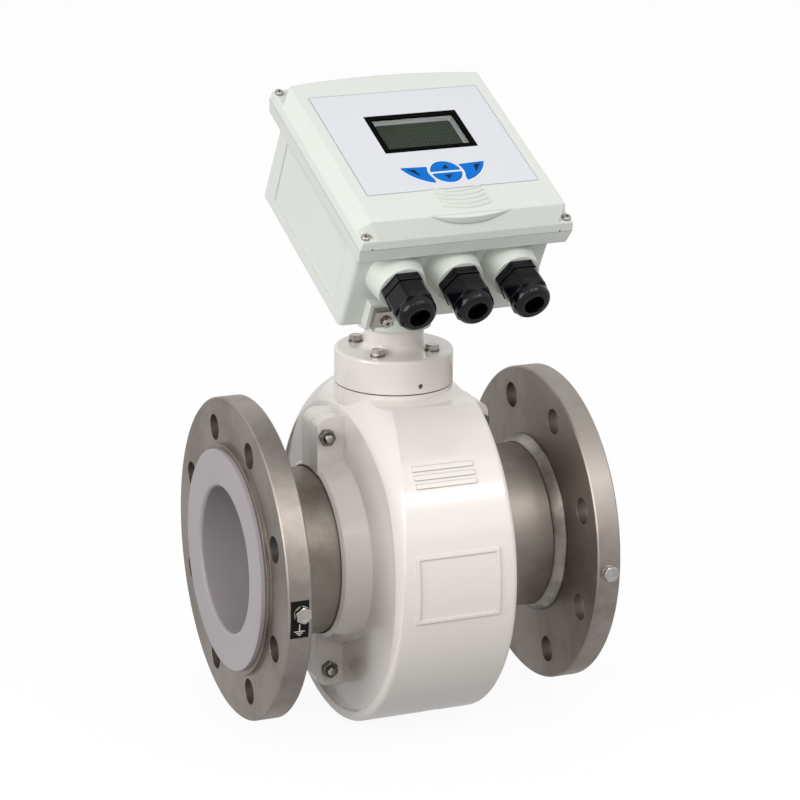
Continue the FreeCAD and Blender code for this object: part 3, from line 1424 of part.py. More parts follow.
def inner_board_floor():
    return level("inner_board_depth") - size("board_thickness")


def inner_board():
    half, low, high = inner_board_limits()
    board = block(-half, half, low, high, inner_board_floor(), level("inner_board_depth"))
    node(feature("main_board", board, head_place()), "main_board")
    blocks = []
    middle = (int(size("block_count")) - 1) / 2
    for number in range(int(size("block_count"))):
        x = (number - middle) * size("block_pitch") - size("block_width") / 2
        made = bound("Part::Box", f"terminal_block_{number}", Length="Dim.block_width", Width="Dim.block_length",
                     Height="Dim.block_height")
        place = Placement(Vector(x, low + size("block_inset"), level("inner_board_depth")), UP)
        made.Placement = head_place(place)
        blocks.append(made)
    node(compound("terminal_blocks", blocks), "terminal_blocks")


# ---------------------------------------------------------------- the whole object
flow_tube()
liner()
flange("inlet_flange", -1)
flange("outlet_flange", 1)
weld_beads()
earth_screws()
earth_label()
measuring_insides()
housing()
hub_seals()
clamp_fasteners()
turret()
lid()
keys()
film_and_display()
lid_screws()
base()
earth_terminal()
cover_seal()
glands()
inner_board()

doc.recompute()

for made in doc.Objects:
    if "Invalid" in made.State or "Error" in made.State:
        raise RuntimeError(f"{made.Name} did not build: {made.State}")

os.makedirs("parts", exist_ok=True)
for made in NODES:
    shape = made.Shape
    if shape.isNull() or not shape.isValid() or not shape.Solids:
        raise RuntimeError(f"{made.Label} is not a sound solid")
    shape.exportStep(f"parts/{made.Label}.step")
    print(made.Label, len(shape.Solids), round(shape.Volume / 1000, 1), "cm3")
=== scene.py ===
"""Looks of the electromagnetic flow meter: materials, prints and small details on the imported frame."""

import math

import bmesh
import bpy
from mathutils import Matrix, Vector


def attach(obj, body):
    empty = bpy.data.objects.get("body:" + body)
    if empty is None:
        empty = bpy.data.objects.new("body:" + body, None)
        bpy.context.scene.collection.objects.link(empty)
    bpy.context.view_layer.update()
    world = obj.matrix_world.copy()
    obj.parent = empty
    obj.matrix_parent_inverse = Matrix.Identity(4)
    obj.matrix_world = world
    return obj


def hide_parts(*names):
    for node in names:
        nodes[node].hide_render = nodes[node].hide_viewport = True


MM = 0.001

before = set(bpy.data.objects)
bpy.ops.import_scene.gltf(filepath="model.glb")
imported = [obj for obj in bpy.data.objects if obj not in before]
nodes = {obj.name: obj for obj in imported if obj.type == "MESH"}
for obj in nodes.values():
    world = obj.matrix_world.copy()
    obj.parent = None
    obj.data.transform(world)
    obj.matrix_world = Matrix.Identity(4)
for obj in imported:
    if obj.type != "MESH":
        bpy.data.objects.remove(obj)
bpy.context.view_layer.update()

# ---------------------------------------------------------------- sizes of the object, in mm
TURRET_X = -2.5
TUBE_RADIUS = 57.15
FLANGE_RADIUS = 110.0
FLANGE_BACK = 102.0
WELD_LEG = 6.0
WELD_REACH = 8.7
DRUM_RADIUS = 120.5
FACE = 276.6
FILM_TOP = FACE + 0.15
KEY_TOP = FACE + 0.6
KEY = Vector((1.5, 55.4))
KEY_RADIUS = 10.6
KEY_SPLIT = 1.1
HEAD = (Matrix.Translation((TURRET_X * MM, 0, 0)) @ Matrix.Rotation(math.radians(3.0), 4, "Z")
        @ Matrix.Rotation(math.radians(26.1), 4, "X"))


# ---------------------------------------------------------------- node helpers
def new_material(name):
    material = bpy.data.materials.new(name)
    material.use_nodes = True
    shader = material.node_tree.nodes["Principled BSDF"]
    return material, material.node_tree, shader


def position(tree, stretch=(1, 1, 1)):
    place = tree.nodes.new("ShaderNodeTexCoord")
    turn = tree.nodes.new("ShaderNodeMapping")
    turn.inputs["Scale"].default_value = stretch
    tree.links.new(place.outputs["Object"], turn.inputs["Vector"])
    return turn.outputs["Vector"]


def noise(tree, scale, detail=4.0, rough=0.55, stretch=(1, 1, 1)):
    made = tree.nodes.new("ShaderNodeTexNoise")
    made.inputs["Scale"].default_value = scale
    made.inputs["Detail"].default_value = detail
    made.inputs["Roughness"].default_value = rough
    tree.links.new(position(tree, stretch), made.inputs["Vector"])
    return made.outputs["Fac"]


def ramp(tree, value, low, high, start=0.35, end=0.65):
    made = tree.nodes.new("ShaderNodeValToRGB")
    made.color_ramp.elements[0].position = start
    made.color_ramp.elements[1].position = end
    made.color_ramp.elements[0].color = (*low, 1)
    made.color_ramp.elements[1].color = (*high, 1)
    tree.links.new(value, made.inputs["Fac"])
    return made.outputs["Color"]


def span(tree, value, low, high):
    made = tree.nodes.new("ShaderNodeMapRange")
    made.inputs["To Min"].default_value = low
    made.inputs["To Max"].default_value = high
    tree.links.new(value, made.inputs["Value"])
    return made.outputs["Result"]


def bump(tree, shader, value, strength, distance, edge=0.0):
    """Surface relief from a height, over edges softened by the given radius."""
    made = tree.nodes.new("ShaderNodeBump")
    made.inputs["Strength"].default_value = strength
    made.inputs["Distance"].default_value = distance
    tree.links.new(value, made.inputs["Height"])
    if edge:
        soft = tree.nodes.new("ShaderNodeBevel")
        soft.samples = 6
        soft.inputs["Radius"].default_value = edge
        tree.links.new(soft.outputs["Normal"], made.inputs["Normal"])
    tree.links.new(made.outputs["Normal"], shader.inputs["Normal"])


def tints(colour, spread=0.04):
    """The colour a little darker and a little lighter, for slow variation."""
    return (tuple(channel * (1 - spread) for channel in colour),
            tuple(min(channel * (1 + spread), 1.0) for channel in colour))


# ---------------------------------------------------------------- materials
def gloss_paint():
    material, tree, shader = new_material("cream_gloss_paint")
    tree.links.new(ramp(tree, noise(tree, 5.0, 2.0), *tints((0.74, 0.695, 0.655), 0.012)),
                   shader.inputs["Base Color"])
    tree.links.new(span(tree, noise(tree, 35.0, 2.0), 0.19, 0.25), shader.inputs["Roughness"])
    shader.inputs["Coat Weight"].default_value = 0.5
    shader.inputs["Coat Roughness"].default_value = 0.08
    bump(tree, shader, noise(tree, 130.0, 1.0), 0.05, 0.0003, 0.0012)
    return material


def moulded_plastic():
    material, tree, shader = new_material("grey_moulded_plastic")
    tree.links.new(ramp(tree, noise(tree, 8.0, 2.0), *tints((0.665, 0.690, 0.645), 0.012)),
                   shader.inputs["Base Color"])
    tree.links.new(span(tree, noise(tree, 60.0, 3.0), 0.40, 0.48), shader.inputs["Roughness"])
    bump(tree, shader, noise(tree, 2200.0, 2.0), 0.08, 0.00008, 0.0010)
    return material


def turned_steel(name, colour, rough, stain=0.12):
    """Turned stainless steel: fine rings round the pipe's axis and faint cloudy stains."""
    material, tree, shader = new_material(name)
    split = tree.nodes.new("ShaderNodeSeparateXYZ")
    tree.links.new(position(tree), split.inputs["Vector"])
    flat = tree.nodes.new("ShaderNodeCombineXYZ")
    tree.links.new(split.outputs["Y"], flat.inputs["X"])
    tree.links.new(split.outputs["Z"], flat.inputs["Y"])
    radius = tree.nodes.new("ShaderNodeVectorMath")
    radius.operation = "LENGTH"
    tree.links.new(flat.outputs["Vector"], radius.inputs[0])
    along = tree.nodes.new("ShaderNodeCombineXYZ")
    tree.links.new(radius.outputs["Value"], along.inputs["X"])
    tree.links.new(split.outputs["X"], along.inputs["Y"])
    rings = tree.nodes.new("ShaderNodeTexNoise")
    rings.inputs["Scale"].default_value = 1400.0
    rings.inputs["Detail"].default_value = 2.0
    tree.links.new(along.outputs["Vector"], rings.inputs["Vector"])
    clouds = ramp(tree, noise(tree, 16.0, 6.0, 0.6), *tints(colour, stain), 0.30, 0.72)
    marks = ramp(tree, noise(tree, 9.0, 10.0, 0.72), (0.72, 0.70, 0.67), (1.0, 1.0, 1.0), 0.36, 0.52)
    shade = tree.nodes.new("ShaderNodeMix")
    shade.data_type = "RGBA"
    shade.blend_type = "MULTIPLY"
    shade.inputs["Factor"].default_value = 1.0
    tree.links.new(clouds, shade.inputs["A"])
    tree.links.new(marks, shade.inputs["B"])
    tree.links.new(shade.outputs["Result"], shader.inputs["Base Color"])
    shader.inputs["Metallic"].default_value = 1.0
    tree.links.new(span(tree, rings.outputs["Fac"], rough - 0.04, rough + 0.08), shader.inputs["Roughness"])
    bump(tree, shader, rings.outputs["Fac"], 0.10, 0.0001, 0.0005)
    return material


def bright_steel(name, colour, rough):
    material, tree, shader = new_material(name)
    tree.links.new(ramp(tree, noise(tree, 300.0, 4.0), *tints(colour, 0.10)), shader.inputs["Base Color"])
    shader.inputs["Metallic"].default_value = 1.0
    tree.links.new(span(tree, noise(tree, 700.0, 3.0), rough - 0.05, rough + 0.08), shader.inputs["Roughness"])
    bump(tree, shader, noise(tree, 900.0, 2.0), 0.12, 0.0001, 0.0003)
    return material


def plain(name, colour, rough, grain=400.0, strength=0.08, spread=0.04, edge=0.0, **sockets):
    material, tree, shader = new_material(name)
    tree.links.new(ramp(tree, noise(tree, grain / 20, 3.0), *tints(colour, spread)), shader.inputs["Base Color"])
    tree.links.new(span(tree, noise(tree, grain / 4, 3.0), rough * 0.85, min(rough * 1.15, 1.0)),
                   shader.inputs["Roughness"])
    bump(tree, shader, noise(tree, grain, 3.0), strength, 0.0001, edge)
    for socket, value in sockets.items():
        shader.inputs[socket.replace("_", " ")].default_value = value
    return material


def weld_steel():
    material, tree, shader = new_material("weld_steel")
    tree.links.new(ramp(tree, noise(tree, 60.0, 5.0), (0.20, 0.182, 0.160), (0.36, 0.335, 0.30)),
                   shader.inputs["Base Color"])
    shader.inputs["Metallic"].default_value = 1.0
    tree.links.new(span(tree, noise(tree, 150.0, 3.0), 0.35, 0.60), shader.inputs["Roughness"])
    bump(tree, shader, noise(tree, 420.0, 3.0), 0.25, 0.0004)
    return material


def clear_pane():
    material, tree, shader = new_material("clear_pane")
    tree.links.new(ramp(tree, noise(tree, 20.0, 2.0), (0.94, 0.95, 0.94), (0.97, 0.98, 0.97)),
                   shader.inputs["Base Color"])
    tree.links.new(span(tree, noise(tree, 60.0, 2.0), 0.01, 0.04), shader.inputs["Roughness"])
    shader.inputs["Transmission Weight"].default_value = 1.0
    shader.inputs["IOR"].default_value = 1.06
    return material


paint = gloss_paint()
grey = moulded_plastic()
flange_steel = turned_steel("flange_steel", (0.315, 0.280, 0.256), 0.42, 0.14)
tube_steel = turned_steel("tube_steel", (0.285, 0.255, 0.226), 0.46, 0.22)
screw_steel = bright_steel("screw_steel", (0.42, 0.395, 0.36), 0.22)
# painted reflection: a darker copy of the screw steel, its darkness standing for the dark reflections on the clamp
# nuts; the turret washers and set screw share it
painted_reflection_dark_steel = bright_steel("painted_reflection_dark_steel", (0.17, 0.16, 0.15), 0.26)
chrome = bright_steel("plated_steel", (0.46, 0.44, 0.41), 0.16)
weld = weld_steel()
liner_grey = plain("liner_grey", (0.34, 0.310, 0.320), 0.42, 300.0, 0.08, 0.03, 0.001)
black_gloss = plain("black_gland_plastic", (0.0022, 0.0022, 0.0040), 0.09, 500.0, 0.04, 0.1, 0.0006,
                    Specular_IOR_Level=0.3)
black_matte = plain("black_rubber", (0.010, 0.010, 0.010), 0.62, 700.0, 0.20)
film = plain("lilac_film", (0.660, 0.672, 0.705), 0.40, 900.0, 0.02, 0.006, Specular_IOR_Level=0.3)
halo_white = plain("white_print", (0.86, 0.88, 0.92), 0.45, 600.0, 0.02, 0.01)
# painted shade for the groove round the film's edge
groove_shade_grey = plain("groove_shade_grey_paint", (0.30, 0.31, 0.34), 0.50, 600.0, 0.02)
# black print on the display bezel, also used as painted shade for the small holes in the cover's rim
ink_and_shade_black = plain("black_print", (0.001, 0.001, 0.001), 0.60, 500.0, 0.03, Specular_IOR_Level=0.02)
lcd = plain("lcd_glass", (0.032, 0.041, 0.030), 0.45, 300.0, 0.0, 0.02, Specular_IOR_Level=0.05)
lcd_rim = plain("lcd_rim_grey", (0.25, 0.26, 0.26), 0.38, 500.0, 0.04)
blue = plain("blue_keycap", (0.000, 0.148, 0.560), 0.50, 600.0, 0.03, 0.02, 0.0004, Specular_IOR_Level=0.08)
sign_dark = plain("dark_sign_print", (0.004, 0.020, 0.045), 0.60, 500.0, 0.03, Specular_IOR_Level=0.1)
board = plain("green_board", (0.02, 0.12, 0.05), 0.45, 500.0, 0.15)
block = plain("terminal_plastic", (0.55, 0.54, 0.50), 0.50, 500.0, 0.10)
winding = plain("copper_winding", (0.45, 0.18, 0.07), 0.35, 900.0, 0.60, Metallic=1.0)
iron = plain("core_iron", (0.20, 0.20, 0.21), 0.50, 400.0, 0.30, Metallic=1.0)
label_black = plain("label_black", (0.004, 0.0035, 0.0035), 0.55, 500.0, 0.05, Specular_IOR_Level=0.15)
label_white = plain("label_white", (0.55, 0.54, 0.52), 0.50, 500.0, 0.05)

LOOKS = {
    paint: ["housing_front", "housing_rear", "turret_cap"],
    grey: ["box_base", "lid"],
    flange_steel: ["inlet_flange", "outlet_flange"],
    tube_steel: ["flow_tube"],
    weld: ["weld_beads"],
    painted_reflection_dark_steel: ["turret_set_screw", "turret_washers"],
    screw_steel: ["clamp_screws", "clamp_nuts", "turret_bolts", "flange_earth_screws", "flange_earth_washers",
                  "neck_lock_ring", "measuring_electrodes", "earth_clamp"],
    chrome: ["earth_clamp_screw", "lid_screws"],
    liner_grey: ["liner"],
    black_gloss: ["gland_bodies", "gland_nut_1", "gland_nut_2", "gland_nut_3", "gland_locknuts"],
    black_matte: ["gland_seals", "hub_seals", "turret_gasket", "cover_seal"],
    film: ["film_overlay"],
    ink_and_shade_black: ["display_bezel"],
    clear_pane(): ["display_window"],
    lcd: ["lcd_module"],
    blue: ["key_left", "key_right", "key_up", "key_down"],
    board: ["main_board", "display_board"],
    block: ["terminal_blocks", "electrode_bushes"],
    winding: ["field_coils"],
    iron: ["field_yoke", "pole_cores"],
    label_black: ["earth_label"],
}
for material, names in LOOKS.items():
    for name in names:
        for part_slot in nodes[name].material_slots:
            part_slot.material = material


# ---------------------------------------------------------------- mesh helpers (mm in, metres out)
class Piece:
    """A piece gathered from several forms, each given in millimetres and set in place."""

    def __init__(self, name, *materials):
        self.name = name
        self.materials = materials
        self.form = bmesh.new()

    def face(self, points, smooth=False, slot=0):
        try:
            made = self.form.faces.new(points)
        except ValueError:
            return
        made.smooth = smooth
        made.material_index = slot

    def rings(self, rings, closed=True, smooth=True, slot=0):
        """Skins neighbouring rings of points; closed rings run all the way round."""
        made = [[self.form.verts.new(Vector(point) * MM) for point in ring] for ring in rings]
        for one, two in zip(made, made[1:]):
            count = len(one)
            for index in range(count if closed else count - 1):
                after = (index + 1) % count
                self.face((one[index], one[after], two[after], two[index]), smooth, slot)
        return made

    def cap(self, ring, slot=0, flip=False):
        self.face(list(reversed(ring)) if flip else ring, False, slot)

    def flat(self, points, slot=0):
        self.face([self.form.verts.new(Vector(point) * MM) for point in points], False, slot)

    def lathe(self, place, outline, steps=48, slot=0):
        """Turns (radius, height) points round the place's Z axis."""
        rings = []
        for radius, height in outline:
            rings.append([place @ Vector((radius * math.cos(2 * math.pi * step / steps),
                                          radius * math.sin(2 * math.pi * step / steps), height))
                          for step in range(steps)])
        made = self.rings(rings, slot=slot)
        if outline[0][0] > 0.01:
            self.cap(made[0], slot, True)
        if outline[-1][0] > 0.01:
            self.cap(made[-1], slot)
        return made

    def finish(self, body, replaced=(), finish=None):
        bmesh.ops.remove_doubles(self.form, verts=self.form.verts, dist=1e-7)
        bmesh.ops.recalc_face_normals(self.form, faces=self.form.faces)
        mesh = bpy.data.meshes.new(self.name)
        self.form.to_mesh(mesh)
        self.form.free()
        for material in self.materials:
            mesh.materials.append(material)
        made = bpy.data.objects.new(self.name, mesh)
        bpy.context.scene.collection.objects.link(made)
        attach(made, body)
        if replaced:
            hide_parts(*replaced)
        return made


def spot(x, y, z, turn="Z"):
    """A place in mm whose Z axis points along the named direction."""
    turns = {"Z": Matrix.Identity(4), "-Y": Matrix.Rotation(math.radians(90), 4, "X"),
             "Y": Matrix.Rotation(math.radians(-90), 4, "X")}
    return Matrix.Translation((x, y, z)) @ turns[turn]


def head_spot(x, s, n, turn="Z"):
    scaled = HEAD.copy()
    scaled.translation = HEAD.translation / MM
    return scaled @ spot(x, s, n, turn)


def hexagon_reach(angle, across):
    """Distance from a hexagon's centre to its edge in one direction."""
    part = (angle + math.pi / 6) % (math.pi / 3) - math.pi / 6
    return across / 2 / math.cos(part)


def hex_head(piece, place, across, height, bore=0.0, base=0.0, turned=0.0, slot=0, washer=0.0):
    """A chamfered hexagon head or nut standing on the place."""
    steps = 72
    flat = across / 2 * 0.96
    angles = [2 * math.pi * step / steps for step in range(steps)]

    def ring(radius, level):
        out = []
        for angle in angles:
            r = radius(angle) if callable(radius) else radius
            z = level(angle) if callable(level) else level
            out.append(place @ Vector((r * math.cos(angle), r * math.sin(angle), z)))
        return out

    def corner(angle):
        return hexagon_reach(angle + turned, across)

    layers = [ring(corner, base), ring(corner, lambda a: height - (corner(a) - flat) * 0.58), ring(flat, height)]
    if bore:
        layers += [ring(bore + 0.5, height), ring(bore, height - 0.5), ring(bore, base)]
        piece.rings(layers, smooth=False, slot=slot)
    else:
        dip = flat * 0.62
        layers += [ring(dip + 0.25, height), ring(dip, height - 0.12), ring(0.01, height - 0.12)]
        piece.rings(layers, smooth=False, slot=slot)


def threaded(piece, place, radius, start, end, pitch=0.8, slot=0, tip=0.5):
    """A threaded stretch with a chamfered tip."""
    outline = [(radius * 0.84, start)]
    count = max(1, int((end - tip - start) / pitch))
    step = (end - tip - start) / count
    for index in range(count):
        level = start + index * step
        outline += [(radius * 0.86, level + step * 0.15), (radius, level + step * 0.45),
                    (radius, level + step * 0.55), (radius * 0.86, level + step * 0.85)]
    outline += [(radius * 0.82, end - tip * 0.6), (radius * 0.62, end), (0.01, end)]
    piece.lathe(place, outline, 32, slot)


def cross_cut(made, places, reach, width, depth):
    """Sinks a cross recess into the heads at the given places."""
    cutter = bmesh.new()
    for place in places:
        for quarter in (0, math.pi / 2):
            turn = place @ Matrix.Rotation(quarter, 4, "Z")
            low = [(-reach * 0.45, -width * 0.35), (reach * 0.45, -width * 0.35),
                   (reach * 0.45, width * 0.35), (-reach * 0.45, width * 0.35)]
            high = [(-reach, -width), (reach, -width), (reach, width), (-reach, width)]
            floor = [cutter.verts.new(turn @ Vector((a, b, -depth)) * MM) for a, b in low]
            top = [cutter.verts.new(turn @ Vector((a, b, depth)) * MM) for a, b in high]
            cutter.faces.new(list(reversed(floor)))
            cutter.faces.new(top)
            for index in range(4):
                after = (index + 1) % 4
                cutter.faces.new((floor[index], floor[after], top[after], top[index]))
    bmesh.ops.recalc_face_normals(cutter, faces=cutter.faces)
    mesh = bpy.data.meshes.new("recess_tool")
    cutter.to_mesh(mesh)
    cutter.free()
    tool = bpy.data.objects.new("recess_tool", mesh)
    bpy.context.scene.collection.objects.link(tool)
    step = made.modifiers.new("recess", "BOOLEAN")
    step.operation = "DIFFERENCE"
    step.solver = "EXACT"
    step.use_self = True
    step.object = tool
    shaped = bpy.data.meshes.new_from_object(made.evaluated_get(bpy.context.evaluated_depsgraph_get()))
    made.modifiers.clear()
    made.data = shaped
    bpy.data.objects.remove(tool)


# ---------------------------------------------------------------- welds
def weld_ring(piece, side):
    """A hand-laid fillet weld round the pipe, with the ripples of each pass."""
    seat = side * FLANGE_BACK
    steps = 300
    rings = []
    for level in range(9):
        turn = math.pi / 2 * level / 8
        ring = []
        for step in range(steps):
            angle = 2 * math.pi * step / steps
            wobble = 0.25 * math.sin(5 * angle + side) + 0.15 * math.sin(13 * angle + 2 * level * 0.2)
            ripple = 0.16 * abs(math.sin(60 * angle + 0.8 * turn)) + wobble
            start = 0.7 * math.exp(-((angle - 6.10) / 0.10) ** 2)
            leg = WELD_LEG - 0.5 + ripple + start
            swell = 1.0 - 0.20 * math.sin(2 * turn)
            radius = TUBE_RADIUS + (leg * math.cos(turn) * swell if level < 8 else -0.02)
            reach = (leg + WELD_REACH - WELD_LEG) * math.sin(turn) * swell
            ring.append((seat - side * reach, radius * math.cos(angle), radius * math.sin(angle)))
        rings.append(ring)
    rings.append([(seat, (TUBE_RADIUS - 0.02) * math.cos(2 * math.pi * step / steps),
                   (TUBE_RADIUS - 0.02) * math.sin(2 * math.pi * step / steps)) for step in range(steps)])
    rings.append(rings[0])
    piece.rings(rings)


def welds():
    piece = Piece("weld_seams", weld)
    weld_ring(piece, -1)
    weld_ring(piece, 1)
    piece.finish("sensor", ["weld_beads"], "weld")


# ---------------------------------------------------------------- screws, nuts and their threads
def clamp_hardware():
    screws = Piece("clamp_screws_threaded", screw_steel)
    # the nuts take the darker steel whose colour is painted reflection
    nuts = Piece("clamp_nuts_chamfered", painted_reflection_dark_steel)
    for side in (-1, 1):
        for x, z in ((56.4, 83.6), (53.6, -83.6)):
            front = spot(side * x, -13.0, z, "-Y")
            hex_head(nuts, front, 10.0, 5.0, 3.05, turned=0.25 * side + z)
            threaded(screws, front, 2.98, -6.0, 7.5)
            rear = spot(side * x, 16.0, z, "Y")
            hex_head(screws, rear, 10.0, 4.0, turned=0.4 * side)
            screws.lathe(rear, [(2.9, -28.0), (2.9, 0.0)], 32)
    screws.finish("sensor", ["clamp_screws"], "fastener")
    nuts.finish("sensor", ["clamp_nuts"], "fastener")


def turret_hardware():
    piece = Piece("turret_bolts_chamfered", screw_steel)
    level = 114.5 + 0.8 + 23.2 + 1.0
    for quarter in range(4):
        angle = math.radians(45 + 90 * quarter)
        place = spot(TURRET_X + 28.0 * math.cos(angle), 28.0 * math.sin(angle), level)
        hex_head(piece, place, 8.0, 3.5, turned=0.35 + 0.5 * quarter)
        piece.lathe(place, [(2.45, -35.8), (2.45, 0.0)], 32)
    piece.finish("sensor", ["turret_bolts"], "fastener")


def earth_hardware():
    piece = Piece("earth_screws_chamfered", chrome)
    for side in (-1, 1):
        place = spot(side * 110.0, -(FLANGE_RADIUS + 1.2), -1.2, "-Y")
        hex_head(piece, place, 10.0, 4.2, turned=0.2 + 0.3 * side)
        piece.lathe(place, [(2.95, -10.8), (2.95, 0.0)], 32)
    piece.finish("sensor", ["flange_earth_screws"], "fastener")


def recessed_screws():
    piece = Piece("cover_screws_recessed", screw_steel)
    places = []
    for x in (-71.3, 71.3):
        for s in (11.5, 164.1):
            place = head_spot(x, s, FACE - 11.0)
            piece.lathe(place, [(0.01, -14.9), (1.4, -14.9), (1.85, -14.0), (1.85, 0.02), (2.98, 0.02), (2.98, 1.2),
                                (2.75, 1.75), (2.1, 2.1), (0.01, 2.19)], 40)
            places.append(head_spot(x, s, FACE - 11.0 + 2.19) @ Matrix.Rotation(x * 3.0, 4, "Z"))
    made = piece.finish("cover", ["lid_screws"], "fastener")
    cross_cut(made, places, 1.85, 0.52, 1.6)

    piece = Piece("clamp_screw_recessed", chrome)
    place = head_spot(-44.0 + 3.3, 20.9 - 7.5 - 1.5, FACE - 80.0 - 3.9, "-Y")
    piece.lathe(place, [(0.01, -8.9), (1.6, -8.9), (1.95, -8.2), (1.95, 0.02), (3.98, 0.02), (3.98, 1.9), (3.7, 2.45),
                        (2.9, 2.75), (0.01, 2.79)], 48)
    made = piece.finish("head", ["earth_clamp_screw"], "fastener")
    cross_cut(made, [place @ Matrix.Translation((0, 0, 2.79)) @ Matrix.Rotation(0.5, 4, "Z")], 2.5, 0.55, 1.5)


# ---------------------------------------------------------------- prints on the flange label and the front film, and painted shade at the film's edge and in the rim's holes
def on_rim(x, z, lift=0.30):
    radius = FLANGE_RADIUS + lift
    return (x, -math.sqrt(radius ** 2 - z ** 2), z)


def earth_sign():
    """The earth symbol printed on the flange's black label."""
    piece = Piece("earth_sign_print", label_white)
    middle = -111.2
    bars = [(0.42, -13.2, -8.4), (3.6, -13.9, -13.2), (2.3, -15.2, -14.5), (1.1, -16.5, -15.8)]
    for half, low, high in bars:
        levels = [low + (high - low) * step / 6 for step in range(7)]
        piece.rings([[on_rim(middle - half, level, 0.38), on_rim(middle + half, level, 0.38)] for level in levels],
                    closed=False, smooth=True)
    piece.finish("sensor")


def on_face(x, s, n):
    return tuple(HEAD @ Vector((x * MM, s * MM, n * MM)) / MM)


def shade_line_frame(name, corners, width, level, material, turns=6, radius=2.0):
    """A thin line of painted shade round a rounded rectangle on the face."""
    left, right, low, high = corners
    outer, inner = [], []
    for x, s, start in ((right - radius, high - radius, 0), (left + radius, high - radius, 90),
                        (left + radius, low + radius, 180), (right - radius, low + radius, 270)):
        for step in range(turns + 1):
            angle = math.radians(start + 90 * step / turns)
            for line, r in ((outer, radius), (inner, radius - width)):
                line.append(on_face(x + r * math.cos(angle), s + r * math.sin(angle), level))
    piece = Piece(name, material)
    piece.rings([outer, inner], smooth=False)
    return piece.finish("cover")


def arc(start, middle, end, steps=14):
    """Points along the circle through three points."""
    (ax, ay), (bx, by), (cx, cy) = start, middle, end
    d = 2 * (ax * (by - cy) + bx * (cy - ay) + cx * (ay - by))
    ux = ((ax * ax + ay * ay) * (by - cy) + (bx * bx + by * by) * (cy - ay) + (cx * cx + cy * cy) * (ay - by)) / d
    uy = ((ax * ax + ay * ay) * (cx - bx) + (bx * bx + by * by) * (ax - cx) + (cx * cx + cy * cy) * (bx - ax)) / d
    centre = Vector((ux, uy))
    first = math.atan2(ay - uy, ax - ux)
    via = math.atan2(by - uy, bx - ux)
    last = math.atan2(cy - uy, cx - ux)
    sweep = (last - first) % (2 * math.pi)
    if (via - first) % (2 * math.pi) > sweep:
        sweep -= 2 * math.pi
    radius = (Vector(start) - centre).length
    return [(ux + radius * math.cos(first + sweep * step / steps), uy + radius * math.sin(first + sweep * step / steps))
            for step in range(steps + 1)]


def key_lines():
    """The outlines of the four keys, as points round each."""
    half_angle = math.asin(KEY_SPLIT / KEY_RADIUS)
    lines = {}
    for name, sign in (("up", 1), ("down", -1)):
        lines[name] = [(KEY_RADIUS * math.cos(half_angle + (math.pi - 2 * half_angle) * step / 28),
                        sign * KEY_RADIUS * math.sin(half_angle + (math.pi - 2 * half_angle) * step / 28))
                       for step in range(29)]
    ring = KEY_RADIUS + 2.2
    for name, sign in (("left", -1), ("right", 1)):
        inner_top = (sign * math.sqrt(ring ** 2 - 6.3 ** 2), 6.3)
        foot = (sign * math.sqrt(ring ** 2 - 36.0), -6.0)
        tip = (sign * 30.0, 7.3)
        inner_bottom = (foot[0], -10.0)
        belly = (sign * 24.0, -2.2)
        line = [tip] + arc(inner_top, (sign * ring, 0.0), foot) + arc(inner_bottom, belly, tip)[:-1]
        lines[name] = line
    return {name: [Vector(point) + KEY for point in line] for name, line in lines.items()}


def key_halos():
    """The pale border printed round each key."""
    piece = Piece("key_border_print", halo_white)
    for line in key_lines().values():
        count = len(line)
        area = sum(a.x * b.y - b.x * a.y for a, b in zip(line, line[1:] + line[:1]))
        outer, inner = [], []
        for index, point in enumerate(line):
            before, after = line[index - 1], line[(index + 1) % count]
            way = (after - before).normalized()
            out = Vector((way.y, -way.x)) * (1 if area > 0 else -1)
            outer.append(on_face(*(point + out * 0.95), FILM_TOP + 0.02))
            inner.append(on_face(*(point + out * 0.06), FILM_TOP + 0.02))
        piece.rings([outer, inner], smooth=False)
    piece.finish("cover")


def key_signs():
    """The dark arrow on each key."""
    signs = {"up": [(2.0, 7.2), (-2.1, 2.9), (3.0, 2.7)], "down": [(-1.0, -7.4), (-2.9, -3.4), (3.1, -3.5)],
             "left": [(-26.2, 5.0), (-20.8, 4.3), (-19.0, -3.2)], "right": [(26.6, 5.2), (21.4, 4.6), (20.2, -2.8)]}
    for name, points in signs.items():
        piece = Piece(f"key_{name}_arrow", sign_dark)
        piece.flat([on_face(*(Vector(point) + KEY), KEY_TOP + 0.03) for point in points])
        piece.finish(f"key_{name}_cap", finish="black_print")


def display_rim():
    """The pale moulded rim inside the display opening, with rounded inner corners."""
    left, right, low, high = 1.7 - 29.1, 1.7 + 29.1, 83.1, 114.0
    steps = 6

    def outline(inset, radius, level):
        points = []
        for x, s, start in ((right - inset - radius, high - inset - radius, 0),
                            (left + inset + radius, high - inset - radius, 90),
                            (left + inset + radius, low + inset * 0.4 + radius, 180),
                            (right - inset - radius, low + inset * 0.4 + radius, 270)):
            for step in range(steps + 1):
                angle = math.radians(start + 90 * step / steps)
                points.append(on_face(x + radius * math.cos(angle), s + radius * math.sin(angle), level))
        return points

    piece = Piece("display_inner_rim", lcd_rim)
    top = FACE - 1.95
    rings = [outline(0.0, 0.3, top), outline(0.5, 0.6, top), outline(2.0, 2.0, FACE - 3.55), outline(0.0, 0.3, FACE - 3.55)]
    piece.rings(rings + rings[:1], smooth=False)
    piece.finish("cover")


def rim_hole_shades():
    """A small black disc of painted shade for the dark inside a small hole in the front of the rim, near each lower
    corner.
    """
    piece = Piece("rim_hole_painted_shade", ink_and_shade_black)
    for x in (-67.0, 66.0):
        place = head_spot(x, 7.0, FACE - 17.2, "-Y")
        # painted shade: the black disc stands proud by 0.1 mm and paints the dark of a hole; no hole is cut
        piece.lathe(place, [(0.01, 0.10), (0.58, 0.10), (0.68, -0.6)], 20)
    piece.finish("cover", finish="black_print")


